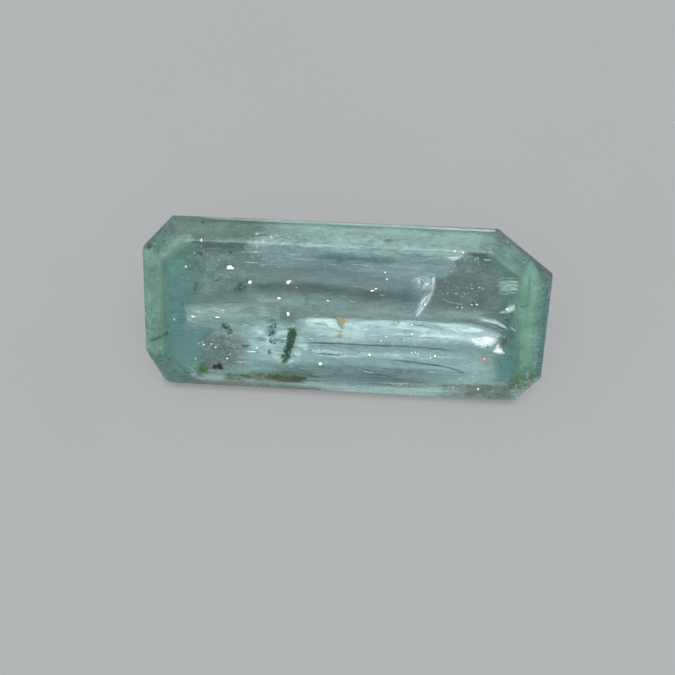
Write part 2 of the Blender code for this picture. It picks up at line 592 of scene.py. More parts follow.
def film(outline, ripple, ripples, lean=0.0, core=None, swell=facing, under=0.0, rings=12):
    """A closed film. Fraction s of the way from its core line to the outline, a point is that
    mix of the two, ripples deep by a cosine of s and turn, deeper by lean for each mm across,
    settled that far under the facets, and moved half the thickness times (1 - s squared)
    either way."""
    following = np.roll(outline, -1, axis=0)
    if (outline[:, 0] * following[:, 1] - following[:, 0] * outline[:, 1]).sum() > 0.0:
        outline = outline[::-1]
    inner = nearest_on(core_line(outline) if core is None else core, outline)
    middle = inner.mean(axis=0)
    part = np.linspace(INNERMOST, 1.0, rings)
    turn = np.arange(len(outline)) / len(outline) * math.tau
    flat = inner + (outline - inner) * part[:, None, None]
    phase = ripples * math.pi * part[:, None] + RIPPLE_SWING * np.cos(2.0 * turn)
    wave = np.cos(phase) * part[:, None]
    flat[..., 2] += ripple * wave + lean * (flat[..., 1] - middle[1])
    lift = 0.5 * VEIL_THICKNESS * swell
    flat = np.concatenate([flat.reshape(-1, 3), middle[None]])
    room = CLEARANCE + 0.5 * VEIL_THICKNESS
    flat = tuck_inside(settle(spot(flat), room + under * MM), room)
    middle = flat[-1:]
    flat = flat[:-1].reshape(rings, -1, 3)
    shift = (1.0 - part**2)[:, None, None] * lift
    points = np.concatenate([flat + shift, (flat - shift)[:-1][::-1]])
    rim = np.concatenate([part, part[:-1][::-1]])
    return skin(points[None], middle + lift, middle - lift, rim[None])


print("a film is", VEIL_THICKNESS / MM, "mm thick and", CLEARANCE / MM, "mm or more inside")

# %% [markdown]
# ## The crystal itself
#
# Beryl is clear, so the stone keeps its solid and gets a glass: full transmission, the index of
# beryl and a volume that drinks red light. The colour is then the length of the path: pale
# through the middle, deep at the ends, where light is mirrored many times before it leaves.
# Painting green on the surface would look like enamel.
#
# The polish varies from facet to facet. The table is bright, with faint scratches along it. The
# crown is worn to satin, the upright girdle was never polished, and the end facets below are
# dull. Each facet has one direction, so the roughness can be read from the normal: the ranges
# below say how nearly it points out of the table, or to an end, where one polish gives way to
# the next.

# %% The beryl's finish
ABSORBED = (0.0, 0.82, 0.77, 1.0)
ABSORPTION_DENSITY = 95.0
TABLE_ROUGHNESS = 0.02
PAVILION_ROUGHNESS = 0.05
CROWN_ROUGHNESS = 0.27
GIRDLE_ROUGHNESS = 0.70
END_ROUGHNESS = 0.24
OFF_TABLE = (0.99, 0.97)
ABOVE_GIRDLE = (-0.1, 0.0)
UPRIGHT = (0.3, 0.2)
AT_AN_END = (0.3, 0.5)
SCRATCH_DEPTH = 2.5e-7


def faces_towards(tree, direction):
    """How nearly the facet faces a direction: the dot product of its normal with it."""
    place = add_node(tree, "ShaderNodeTexCoord")
    values = {0: place.outputs["Normal"], 1: tuple(direction)}
    dot = add_node(tree, "ShaderNodeVectorMath", values, operation="DOT_PRODUCT")
    return dot.outputs["Value"]


beryl, tree, shader = new_finish("pale_beryl")
shader.inputs["Base Color"].default_value = (1.0, 1.0, 1.0, 1.0)
shader.inputs["IOR"].default_value = BERYL_INDEX
shader.inputs["Transmission Weight"].default_value = 1.0
volume = add_node(tree, "ShaderNodeVolumeAbsorption")
volume.inputs["Color"].default_value = ABSORBED
volume.inputs["Density"].default_value = ABSORPTION_DENSITY
tree.links.new(volume.outputs[0], tree.nodes["Material Output"].inputs["Volume"])

upward = faces_towards(tree, facing)
endward = calculate(tree, "ABSOLUTE", faces_towards(tree, along), 0.0)
off_table = remap(tree, upward, OFF_TABLE, (TABLE_ROUGHNESS, CROWN_ROUGHNESS))
above_girdle = remap(tree, upward, ABOVE_GIRDLE, (0.0, 1.0))
at_end = remap(tree, endward, AT_AN_END, (PAVILION_ROUGHNESS, END_ROUGHNESS))
below = calculate(tree, "MULTIPLY", at_end, calculate(tree, "SUBTRACT", 1.0, above_girdle))
on_girdle = remap(tree, upward, UPRIGHT, (0.0, GIRDLE_ROUGHNESS - CROWN_ROUGHNESS))
top = calculate(tree, "MULTIPLY", calculate(tree, "ADD", off_table, on_girdle), above_girdle)
wear = remap(tree, grain(tree, (1.5, 9.0, 9.0)), MIDDLING, (0.9, 1.1))
polish = calculate(tree, "MULTIPLY", calculate(tree, "ADD", below, top), wear)
tree.links.new(polish, shader.inputs["Roughness"])

scratches = grain(tree, (0.6, 40.0, 40.0), detail=3.0)
values = {"Height": scratches, "Strength": 0.6, "Distance": SCRATCH_DEPTH}
bump = add_node(tree, "ShaderNodeBump", values)
tree.links.new(bump.outputs["Normal"], shader.inputs["Normal"])
stone.material_slots[0].material = beryl
print("finish:", beryl.name, "on", stone.name)

# %% [markdown]
# ## The floor
#
# The stone stands on plain pale paper. It is part of the picture only.
# A slight mottling keeps it from looking printed, and it is a hair below the stone's resting
# facet, because an air gap there is what makes that facet a mirror from inside.
#
# A clear stone hardly darkens the paper below it, since most of the light comes through. A
# renderer that follows light back from the eye finds very little of that light and draws a
# black shadow instead. So the paper gives out a part of its own brightness, as painted light.
# The glow is read from how open the paper is, and fades close in under the stone, so the thin
# shadow left there is a painted shadow.

# %% The paper below
FLOOR_SIZE = 0.6
FLOOR_GAP = 0.01 * MM
FLOOR_COLOURS = ((0.096, 0.099, 0.100, 1.0), (0.102, 0.105, 0.1055, 1.0))
GLOW = 3.30
GLOW_REACH = 0.36 * MM

half = FLOOR_SIZE / 2.0
corners = [(-half, -half), (half, -half), (half, half), (-half, half)]
floor_mesh = bpy.data.meshes.new("paper")
floor_mesh.from_pydata([(x, y, -FLOOR_GAP) for x, y in corners], [], [(0, 1, 2, 3)])
floor = bpy.data.objects.new("paper", floor_mesh)
bpy.context.collection.objects.link(floor)

paper, tree, shader = new_finish("paper")
mottle = grain(tree, (0.08, 0.08, 0.08), detail=3.0)
paper_colour = mix_colours(tree, mottle, *FLOOR_COLOURS)
tree.links.new(paper_colour, shader.inputs["Base Color"])
fibre = remap(tree, grain(tree, (3.0, 3.0, 3.0), detail=4.0), MIDDLING, (0.86, 0.94))
tree.links.new(fibre, shader.inputs["Roughness"])
shader.inputs["Specular IOR Level"].default_value = 0.1
# The paper's own glow is painted light; read from how open the paper is, it fades under the stone
# into a painted shadow.
tree.links.new(paper_colour, shader.inputs["Emission Color"])
openness = add_node(tree, "ShaderNodeAmbientOcclusion", {"Distance": GLOW_REACH}).outputs["AO"]
tree.links.new(calculate(tree, "MULTIPLY", openness, GLOW), shader.inputs["Emission Strength"])
floor_mesh.materials.append(paper)
print("floor gap, mm:", FLOOR_GAP / MM)

# %% [markdown]
# ## Growth tubes
#
# Beryl grows along its length and leaves thin hollow tubes that run that way, the fine parallel
# lines seen through the table. Hundreds are scattered through the depth of the stone, each a
# five-sided tapered tube of a few dozen faces. A texture of lines on the table could imitate
# them, but it would slide off when the stone is turned, and real tubes show again, mirrored, in
# the facets below.
#
# A tube is thrown at random, kept if its middle is inside the stone, and shortened where it
# would come within a quarter of a millimetre of a facet. Right under a facet a tube would stand
# out as a scratch.

# %% The tubes along the stone
TUBES_TRIED = 420
TUBE_STATIONS = 5
TUBE_LENGTH = (0.9, 0.65)
LONGEST_TUBE = 5.0
TUBE_RADII = (0.0020, 0.0065)
TUBE_MARGIN = 0.24 * MM
TUBE_SPREAD = ((-5.3, -2.35, 0.15), (5.3, 2.5, 3.7))
TUBE_TILT = 0.006
TUBE_END = 0.06
HARDLY_CLOSES = 1e-6


def room_along(points, margin):
    """How far each world point can go back and forth along the stone before it is within the
    margin of a wall, and whether it starts clear of that. A gap is divided by the rate it
    closes at."""
    gap = wall_reach - margin - points @ wall_normals.T
    rate = wall_normals @ along
    endless = np.full_like(gap, np.inf)
    ahead = np.divide(gap, rate, out=endless.copy(), where=rate > HARDLY_CLOSES)
    behind = np.divide(gap, -rate, out=endless.copy(), where=rate < -HARDLY_CLOSES)
    return behind.min(axis=1) / MM, ahead.min(axis=1) / MM, gap.min(axis=1) > 0.0


def scatter_tubes(draw, tried, spread, length, radii):
    """Random straight paths along the stone: middles even in a box, lengths log-normal, and
    the radius falling to the ends as the root of one minus the square."""
    middle = draw.uniform(spread[0], spread[1], (tried, 3))
    whole = length[0] * np.exp(draw.normal(0.0, length[1], tried))
    half_length = np.minimum(whole, LONGEST_TUBE) / 2
    thick = draw.uniform(radii[0], radii[1], tried)
    tilt = draw.normal(0.0, TUBE_TILT, (tried, 2))
    behind, ahead, within = room_along(spot(middle), TUBE_MARGIN)
    start = np.maximum(-half_length, -behind)
    end = np.minimum(half_length, ahead)
    share = np.linspace(0.0, 1.0, TUBE_STATIONS)
    offset = start[:, None] + (end - start)[:, None] * share
    paths = np.repeat(middle[:, None], TUBE_STATIONS, axis=1)
    paths[..., 0] += offset
    paths[..., 1] += offset * tilt[:, :1]
    paths[..., 2] += offset * tilt[:, 1:]
    taper = np.sqrt(np.maximum(1.0 - (2.0 * share - 1.0) ** 2, TUBE_END))
    return paths[within], (thick[:, None] * taper)[within]


draw = np.random.default_rng(7)
paths, radii = scatter_tubes(draw, TUBES_TRIED, TUBE_SPREAD, TUBE_LENGTH, TUBE_RADII)
print("tubes kept:", len(paths), "of", TUBES_TRIED)

# %% [markdown]
# ## What a tube is made of
#
# A tube is hollow or filled with old fluid, so it is partly clear, with a fluid's index. Its
# wall is uneven, so two tones run along it in patches, and its polish varies with them. A plain
# grey would make all the tubes alike.

# %% A thread's finish
TWO_TONES = (0.4, 0.6)
THREAD_FIBRES = (12.0, 90.0, 90.0)
THREAD_RELIEF = 1e-6
TUBE_FILLING_INDEX = 1.33


def thread_finish(name, light, shade, transmission, rough, per_mm=(2.0, 30.0, 30.0)):
    """A glassy thread: two tones in patches, a roughness that varies, and a little relief."""
    material, tree, shader = new_finish(name)
    patches = grain(tree, per_mm)
    share = remap(tree, patches, TWO_TONES, (0.0, 1.0))
    tree.links.new(mix_colours(tree, share, light, shade), shader.inputs["Base Color"])
    uneven = remap(tree, patches, MIDDLING, (rough * 0.6, rough * 1.4))
    tree.links.new(uneven, shader.inputs["Roughness"])
    fine = grain(tree, THREAD_FIBRES, detail=2.0)
    values = {"Height": fine, "Strength": 0.4, "Distance": THREAD_RELIEF}
    relief = add_node(tree, "ShaderNodeBump", values)
    tree.links.new(relief.outputs["Normal"], shader.inputs["Normal"])
    shader.inputs["Transmission Weight"].default_value = transmission
    shader.inputs["IOR"].default_value = TUBE_FILLING_INDEX
    return material


pale_thread = thread_finish(
    "hollow_tube", rgba(0.80, 0.92, 0.92), rgba(0.50, 0.66, 0.68), transmission=0.35, rough=0.25
)
add_piece("growth_tubes", [tubes(paths, radii)], pale_thread)

# %% [markdown]
# ## Single lines
#
# A few tubes are wide enough to see one by one. Some are filled and show dark, and some are
# open and catch the light. Each is given by a few places that it runs through and its half
# width, in millimetres.

# %% Where the dark lines run
DARK_DEPTHS = (0.15, 0.22)
DARK_LINES = (
    ((-1.21, -0.88), (-0.70, -0.85), (-0.12, -0.84), (0.97, -0.86), (2.03, -0.82), (2.97, -0.87),
     (3.42, -0.88), 0.020),
    ((-2.80, -0.82), (-2.10, -0.83), (-1.40, -0.86), 0.010),
    ((-0.69, -1.18), (-0.29, -1.20), (-0.03, -1.21), 0.017),
    ((1.49, -1.28), (2.06, -1.31), (2.99, -1.39), (3.29, -1.43), (3.75, -1.61), 0.020),
    ((0.25, -1.79), (0.72, -1.75), (1.37, -1.78), (1.73, -1.80), 0.017),
    ((1.60, -0.50), (2.20, -0.52), (2.90, -0.51), 0.007),
    ((2.03, -0.12), (2.60, -0.20), (3.13, -0.26), 0.007),
    ((-0.10, 1.60), (0.20, 1.57), (0.62, 1.58), 0.007),
    ((2.20, 1.98), (2.50, 1.97), (2.95, 1.93), 0.009),
    ((3.58, 2.18), (3.42, 2.00), (3.22, 1.80), 0.014),
)
print("dark lines:", len(DARK_LINES))

# %% [markdown]
# ## Bright lines
#
# The bright ones are open tubes and the edges of cracks. Those at the right outline the
# feather, a crack that splits into strands.

# %% Where the bright lines run
BRIGHT_DEPTHS = (0.14, 0.22)
BRIGHT_LINES = (
    ((-0.65, -0.50), (-0.32, -0.49), (0.04, -0.46), 0.017),
    ((0.55, -0.51), (0.81, -0.52), (1.31, -0.52), (2.04, -0.54), 0.009),
    ((-1.20, -0.90), (-0.70, -0.89), (0.20, -0.885), (1.20, -0.90), 0.008),
    ((-0.60, -1.27), (-0.30, -1.26), (0.05, -1.27), 0.008),
    ((-3.16, -0.68), (-2.98, -0.67), (-2.80, -0.68), 0.015),
    ((-2.90, -0.39), (-2.80, -0.40), (-2.70, -0.42), 0.013),
    ((-3.95, -0.92), (-3.70, -0.94), (-3.44, -0.93), 0.013),
    ((-4.36, -0.59), (-4.24, -0.59), (-4.11, -0.60), 0.010),
    ((0.17, 1.64), (0.40, 1.66), (0.82, 1.62), 0.012),
    ((-0.49, 1.63), (-0.36, 1.63), (-0.23, 1.62), 0.008),
    ((0.23, 0.99), (0.52, 0.94), (0.78, 0.90), 0.007),
    ((1.08, 0.74), (1.15, 0.72), (1.22, 0.74), 0.012),
    ((-0.46, 0.52), (-0.40, 0.47), (-0.30, 0.45), 0.011),
    ((4.54, 1.44), (4.70, 1.47), (4.86, 1.44), (5.04, 1.50), (5.22, 1.48), (5.38, 1.51), 0.011),
    ((4.48, 1.21), (4.62, 1.20), (4.78, 1.25), (4.96, 1.21), (5.16, 1.27), (5.40, 1.27), 0.015),
    ((4.60, 1.09), (4.78, 1.07), (4.94, 1.12), (5.16, 1.12), 0.010),
    ((4.57, 0.97), (4.72, 0.96), (4.88, 1.01), (5.10, 1.01), 0.013),
    ((4.04, 2.00), (4.16, 2.00), (4.30, 2.00), 0.016),
    ((2.90, 0.72), (3.20, 0.61), (3.54, 0.56), 0.009),
    ((2.10, 2.10), (2.35, 2.13), (2.60, 2.18), 0.010),
    ((1.95, 1.99), (2.30, 1.98), (2.75, 1.97), 0.007),
    ((-2.90, 1.92), (-2.65, 1.90), (-2.45, 1.91), 0.015),
    ((-2.35, 1.98), (-2.10, 2.00), (-1.80, 2.02), 0.008),
    ((0.71, -1.68), (0.85, -1.69), (1.00, -1.71), 0.013),
    ((1.56, -2.00), (1.85, -2.01), (2.07, -1.97), 0.014),
    ((-3.16, -1.60), (-2.87, -1.56), (-2.54, -1.60), 0.015),
    ((3.74, 0.17), (4.10, 0.03), (4.45, -0.06), (4.78, -0.20), 0.010),
    ((2.65, 1.47), (2.67, 1.24), (2.62, 1.00), (2.50, 0.80), (2.34, 0.48), (2.15, 0.10), 0.017),
    ((2.18, 1.37), (2.40, 1.41), (2.65, 1.47), 0.013),
    ((2.26, 1.36), (2.36, 1.20), (2.42, 1.00), (2.44, 0.86), 0.010),
    ((2.40, 0.86), (2.24, 0.56), (2.12, 0.20), 0.009),
    ((-2.86, -1.22), (-2.60, -1.23), (-2.36, -1.24), 0.020),
    ((-2.06, -1.27), (-1.86, -1.27), (-1.68, -1.28), 0.020),
    ((-3.02, -0.45), (-2.88, -0.46), (-2.74, -0.47), 0.013),
    ((-2.72, -0.58), (-2.60, -0.57), (-2.48, -0.60), 0.015),
    ((-0.80, -0.24), (-0.62, -0.25), (-0.40, -0.27), 0.018),
    ((-0.90, -0.60), (-0.64, -0.61), (-0.40, -0.62), 0.013),
    ((-1.20, -1.14), (-0.92, -1.15), (-0.66, -1.16), 0.015),
    ((-3.05, 1.87), (-2.65, 1.88), (-2.25, 1.89), 0.016),
    ((-2.95, 1.56), (-2.72, 1.56), (-2.50, 1.55), 0.013),
    ((-1.75, 1.86), (-1.50, 1.87), (-1.30, 1.87), 0.010),
)
print("bright lines:", len(BRIGHT_LINES))

# %% [markdown]
# ## From places to lines
#
# A path is made smooth by averaging each of its stations with its neighbours again and again.
# A Bezier curve would do as well, but needs handles. The line swells and narrows along its way
# and tapers to both ends, as no natural tube is even.

# %% Lines from a table
LINE_STATIONS = 28


def smooth_path(corners, stations, depth):
    """A path of stations through corners: an even run between them, averaged to a curve."""
    corners = np.array(corners)
    length = np.concatenate([[0.0], np.cumsum(np.linalg.norm(np.diff(corners, axis=0), axis=1))])
    wanted = np.linspace(0.0, length[-1], stations)
    run = np.stack([np.interp(wanted, length, corners[:, axis]) for axis in range(2)], axis=1)
    for _ in range(stations // 3):
        run[1:-1] = (run[:-2] + 2.0 * run[1:-1] + run[2:]) / 4.0
    return np.column_stack([run, np.full(stations, depth)])


LINE_SWELL = 0.25
LINE_WAVES = 9.0
LINE_END = 0.05


def lines(table, depths, draw, under=0.0):
    """Tubes for a table of lines. Each row holds its corners and then its radius, which swells
    by a cosine along the line and falls to its ends as the root of one minus the fourth power.
    The lines are settled that many millimetres under the facets."""
    paths = []
    radii = []
    for row in table:
        path = smooth_path(row[:-1], LINE_STATIONS, draw.uniform(*depths))
        share = np.linspace(-1.0, 1.0, LINE_STATIONS)
        swell = 1.0 + LINE_SWELL * np.cos(LINE_WAVES * share + draw.uniform(0.0, math.tau))
        paths.append(path)
        radii.append(row[-1] * np.sqrt(np.maximum(1.0 - share**4, LINE_END)) * swell)
    return tubes(np.array(paths), np.array(radii), sides=8, under=under)


print("a line has", LINE_STATIONS, "stations")

# %% [markdown]
# ## Hairlines under the crown
#
# Three more dark lines are hairlines in the right crown. A veil of painted green light will
# line that crown, so the hairlines are settled just under its facets, above the lining, or they
# would be hidden.

# %% The lines under the crown
CROWN_LINES = (
    ((5.18, 0.61), (5.26, 0.58), (5.34, 0.62), (5.44, 0.64), 0.022),
    ((5.03, -1.16), (5.20, -1.17), (5.37, -1.12), 0.014),
    ((5.34, -1.31), (5.52, -1.32), (5.71, -1.30), 0.010),
)
CROWN_LINE_DEPTH = 0.05

dark_thread = thread_finish(
    "filled_tube", rgba(0.10, 0.22, 0.22), rgba(0.16, 0.30, 0.30), transmission=0.0, rough=0.5
)
bright_thread = thread_finish(
    "open_tube", rgba(0.95, 1.0, 0.99), rgba(0.75, 0.92, 0.92), transmission=0.0, rough=0.3
)
dark = lines(DARK_LINES, DARK_DEPTHS, draw)
crown_dark = lines(CROWN_LINES, (CROWN_LINE_DEPTH, CROWN_LINE_DEPTH), draw, under=CROWN_LINE_DEPTH)
add_piece("dark_lines", [dark, crown_dark], dark_thread)
add_piece("bright_lines", [lines(BRIGHT_LINES, BRIGHT_DEPTHS, draw)], bright_thread)

# %% [markdown]
# ## Veils
#
# Most of what clouds an emerald is veils: healed cracks full of tiny bubbles, too fine to model
# one by one. Each is a thin closed film, swelling a little in the middle, with streaked noise
# for how much it covers. The cover falls to nothing from the film's middle line to its rim, by
# the number that the mesh carries, so a veil has no cut edge. A fog in the whole stone would be
# simpler and would grey every facet alike.

# %% A veil's finish
STREAKS_COVER = (0.4, 0.6)
TONE_SCALE = 0.37
TONES_TURN = (0.35, 0.65)
RELIEF_STRENGTH = 0.15
VEIL_RELIEF = 4e-6


def veil_finish(name, light, shade, cover, per_mm, fade, rough=0.5, foil=0.0, slant=0.0):
    """A film that covers by streaked noise and fades to its rim, in two tones that change more
    slowly than the streaks. Foil is how far it shines like metal, and slant turns the streaks."""
    material, tree, shader = new_finish(name)
    streaks = grain(tree, per_mm, detail=7.0, coarse=0.62, slant=slant)
    broad = tuple(value * TONE_SCALE for value in per_mm)
    tones = grain(tree, broad, detail=4.0, slant=slant)
    amount = remap(tree, streaks, STREAKS_COVER, cover)
    rim = add_node(tree, "ShaderNodeAttribute", attribute_name="rim").outputs["Fac"]
    inward = remap(tree, rim, fade, (1.0, 0.0), smooth=True)
    tree.links.new(calculate(tree, "MULTIPLY", amount, inward), shader.inputs["Alpha"])
    share = remap(tree, tones, TONES_TURN, (0.0, 1.0))
    tree.links.new(mix_colours(tree, share, light, shade), shader.inputs["Base Color"])
    uneven = remap(tree, tones, MIDDLING, (rough * 0.7, rough))
    tree.links.new(uneven, shader.inputs["Roughness"])
    values = {"Height": streaks, "Strength": RELIEF_STRENGTH, "Distance": VEIL_RELIEF}
    bump = add_node(tree, "ShaderNodeBump", values)
    tree.links.new(bump.outputs["Normal"], shader.inputs["Normal"])
    shader.inputs["Metallic"].default_value = foil
    return material


print("relief of a veil, mm:", VEIL_RELIEF / MM)

# %% [markdown]
# ## Veils from a table
#
# A veil needs an outline, a depth, two tones, how much it covers, how many streaks there are to
# a millimetre each way, and where its cover starts and ends its fade from the middle line to
# the rim. Drawing each with its own lines of script would hide those numbers, so they stand in
# tables, and one function turns a table into pieces.

# %% Veils from a table
VEIL_POINTS = 72


def veil(name, outline, finish, draw, rounding=2, wobble=0.02, ripple=0.006, **shape):
    """One veil piece: an outline of (along, across, depth) made smooth, and a film in it. The
    rest of the settings go to the film: its lean, core line, swell and how far it settles."""
    edge = loop_through(outline, VEIL_POINTS, rounding, wobble, draw)
    return add_piece(name, [film(edge, ripple, 3.0, **shape)], finish)


def flat_outline(corners, depth):
    """The corners of an outline, all at one depth."""
    return [(x, y, depth) for x, y in corners]


def veils(table, draw, settled=False, rough=0.5, **shape):
    """A veil for each row of a table: its depth, corners, two tones, cover, scale and fade.
    Settled ones are kept as deep below the facets as they are below the table."""
    for name, (depth, corners, light, shade, cover, per_mm, fade) in table.items():
        tone = veil_finish(name, light, shade, cover, per_mm, fade, rough=rough)
        under = depth if settled else 0.0
        veil(name, flat_outline(corners, depth), tone, draw, under=under, **shape)


print("points in a veil's outline:", VEIL_POINTS)

# %% [markdown]
# ## Silk
#
# Three veils run through nearly the whole stone, one behind another. They are clear, with a
# lower index than beryl, as a bubble has, so they bend and scatter what is behind them and add
# nothing of their own colour. They break up the mirror images of the facets below into streaks.

# %% Silk through the whole stone
SILK_INDEX = 1.4
SILK_TONES = (rgba(0.97, 1.0, 1.0), rgba(0.93, 0.98, 1.0))
SILK_FADE = (0.60, 1.0)
BLOCK_POWER = 0.35
SILK = {
    "silk_upper": (0.24, 5.40, 2.10, (0.22, 0.46), (2.60, 11.0, 11.0)),
    "silk_middle": (1.10, 5.15, 1.85, (0.30, 0.75), (1.00, 7.0, 7.0)),
    "silk_lower": (2.00, 4.75, 1.35, (0.30, 0.85), (0.80, 6.0, 6.0)),
}


def rounded_block(half_along, half_across, depth, power, count=48):
    """A rounded rectangle: cosine and sine of the turn, each drawn out to a power below one."""
    turn = np.arange(count) / count * math.tau
    x = np.sign(np.cos(turn)) * np.abs(np.cos(turn)) ** power * half_along
    y = np.sign(np.sin(turn)) * np.abs(np.sin(turn)) ** power * half_across
    return list(zip(x, y, np.full(count, depth)))


for name, (depth, half_along, half_across, cover, per_mm) in SILK.items():
    tone = veil_finish(name, *SILK_TONES, cover, per_mm, SILK_FADE)
    shader = tone.node_tree.nodes["Principled BSDF"]
    shader.inputs["Transmission Weight"].default_value = 1.0
    shader.inputs["IOR"].default_value = SILK_INDEX
    outline = rounded_block(half_along, half_across, depth, BLOCK_POWER)
    veil(name, outline, tone, draw, rounding=0, wobble=0.0, ripple=0.05)

# %% [markdown]
# ## Soft bands
#
# The light comes back in bands along the stone: pale at the far side, dim in the middle, pale
# again below it. The bands are the edges of the lower facets, blurred by veils too fine to see
# one by one. That light and shade is painted here: each band is a long film, pale or dark in
# its own colour, with a core line down its middle and a slow fade to its sides.
#
# The far ones lie just under the crown and follow its slope, one closer to the facet than the
# next, with the widest one at the back so that its own edge is hidden. They paint the light
# that comes through the far crown, and a dark one paints the shade at its left end.

# %% The far bands


def hazes(table, draw):
    """Settled veils for a table whose rows hold a core line too, after the corners."""
    for name, (depth, corners, core, light, shade, cover, per_mm, fade) in table.items():
        tone = veil_finish(name, light, shade, cover, per_mm, fade)
        core = flat_outline(core, depth)
        veil(name, flat_outline(corners, depth), tone, draw, core=core, under=depth)


# Painted light and shade of the far crown, as films just under it.
FAR_HAZES = {
    "far_haze": (
        0.16,
        ((-5.20, 1.95), (-5.00, 3.00), (0.00, 3.00), (2.50, 3.00), (4.30, 2.90), (4.60, 2.14),
         (3.00, 2.08), (1.20, 2.08), (-3.00, 2.10)),
        ((-4.40, 2.56), (3.20, 2.58)),
        rgba(0.42, 0.66, 0.61), rgba(0.28, 0.48, 0.44), (0.90, 1.00), (5.0, 7.0, 7.0), (0.4, 1.0),
    ),
    "far_glow": (
        0.10,
        ((-1.60, 2.30), (-0.60, 2.70), (1.00, 2.76), (2.60, 2.66), (3.20, 2.30), (2.60, 1.98),
         (1.00, 2.00), (-0.80, 2.06)),
        ((0.00, 2.34), (1.50, 2.34)),
        rgba(0.68, 0.96, 0.92), rgba(0.44, 0.70, 0.66), (0.20, 0.95), (5.0, 9.0, 9.0), (0.0, 1.0),
    ),
    "far_step": (
        0.12,
        ((-3.05, 1.90), (-2.80, 2.40), (-1.00, 2.44), (1.80, 2.40), (3.60, 2.34), (3.90, 2.00),
         (2.60, 1.74), (0.00, 1.84), (-2.00, 1.76)),
        ((-2.20, 2.10), (3.10, 2.08)),
        rgba(0.72, 1.00, 0.97), rgba(0.48, 0.76, 0.74), (0.30, 1.00), (2.4, 9.0, 9.0), (0.0, 1.0),
    ),
    "far_spray": (
        0.09,
        ((-3.05, 1.80), (-2.90, 2.45), (-2.40, 2.62), (-1.60, 2.60), (-0.90, 2.40),
         (-1.10, 1.90), (-2.00, 1.72)),
        ((-2.50, 2.18), (-1.50, 2.20)),
        rgba(0.78, 1.00, 0.98), rgba(0.32, 0.56, 0.52), (0.00, 0.95), (7.0, 12.0, 12.0), (0.1, 1.0),
    ),
    # Painted shade at the left of the far crown.
    "far_left_painted_shade": (
        0.13,
        ((-5.40, 1.80), (-5.30, 2.80), (-4.20, 3.00), (-2.90, 3.00), (-2.00, 2.84),
         (-1.30, 2.50), (-1.80, 2.18), (-3.20, 2.06), (-4.20, 1.94)),
        ((-4.70, 2.40), (-3.60, 2.46)),
        rgba(0.20, 0.37, 0.31), rgba(0.12, 0.26, 0.21), (0.90, 1.00), (6.0, 8.0, 8.0), (0.0, 1.0),
    ),
}
hazes(FAR_HAZES, draw)

# %% [markdown]
# ## The bands across the table
#
# Under the table come a pale band, two softer ones towards the middle, and a dark one lower
# down: painted light and painted shade for the facets mirrored below. The last two lie in the
# near part of the crown, which is greyer and mossy, and carry its painted shade with its green.

# %% The inner and near bands
INNER_HAZES = {
    "upper_haze": (
        0.30,
        ((-3.00, 1.75), (-2.40, 2.00), (0.00, 1.96), (2.40, 2.04), (3.60, 1.92), (3.20, 1.26),
         (1.60, 1.10), (-0.40, 1.46), (-2.80, 1.34)),
        ((-1.80, 1.68), (2.90, 1.68)),
        rgba(0.78, 1.00, 1.00), rgba(0.42, 0.66, 0.65), (0.25, 0.85), (0.9, 8.0, 8.0), (0.1, 1.0),
    ),
    "middle_left_haze": (
        0.26,
        ((-3.20, 0.68), (-1.20, 0.86), (0.70, 0.82), (1.00, 0.20), (-0.60, -0.05),
         (-2.20, -0.02), (-3.20, 0.14)),
        ((-2.20, 0.36), (-0.10, 0.42)),
        rgba(0.76, 0.98, 0.94), rgba(0.46, 0.66, 0.63), (0.30, 0.90), (1.6, 10.0, 10.0), (0.0, 1.0),
    ),
    "middle_haze": (
        0.30,
        ((-2.60, 0.45), (0.00, 0.66), (2.20, 0.64), (4.20, 0.50), (4.60, 0.20), (2.40, -0.14),
         (0.00, -0.16), (-2.60, -0.10)),
        ((-1.60, 0.20), (3.70, 0.18)),
        rgba(0.72, 0.90, 0.88), rgba(0.48, 0.64, 0.62), (0.40, 0.90), (0.8, 6.0, 6.0), (0.1, 1.0),
    ),
    # The dark band is painted shade.
    "low_painted_shade": (
        0.30,
        ((-2.60, -1.60), (-1.00, -1.40), (1.00, -1.30), (2.60, -1.40), (4.00, -1.70),
         (4.20, -2.06), (2.00, -2.16), (-1.00, -2.14), (-2.80, -2.00)),
        ((-1.20, -1.88), (1.30, -1.90)),
        rgba(0.38, 0.54, 0.53), rgba(0.24, 0.36, 0.37), (0.45, 0.92), (1.2, 9.0, 9.0), (0.0, 1.0),
    ),
    # These two paint the near crown's shade along with its mossy green.
    "near_left_moss_and_shade": (
        0.14,
        ((-5.10, -1.95), (-3.00, -2.02), (-0.20, -2.12), (0.80, -2.40), (-1.00, -2.70),
         (-3.00, -2.70), (-4.90, -2.60)),
        ((-4.50, -2.30), (-1.20, -2.38)),
        rgba(0.34, 0.45, 0.38), rgba(0.26, 0.36, 0.30), (0.65, 0.98), (1.6, 5.0, 5.0), (0.1, 1.0),
    ),
    "near_right_moss_and_shade": (
        0.14,
        ((2.00, -2.34), (3.40, -1.90), (4.60, -1.60), (5.40, -1.90), (5.30, -2.50),
         (4.60, -2.70), (2.00, -2.60)),
        ((4.20, -2.20), (4.90, -2.10)),
        rgba(0.36, 0.48, 0.41), rgba(0.22, 0.33, 0.27), (0.40, 0.95), (4.0, 6.0, 6.0), (0.0, 1.0),
    ),
}
hazes(INNER_HAZES, draw)

# %% [markdown]
# ## Frost on the girdle
#
# The upright girdle at the far side was left as the saw made it. It shows as a thin pale line,
# so a narrow film stands upright just inside it, swelling towards the far side. A rougher
# girdle alone would show the line only where the light happens to catch it.

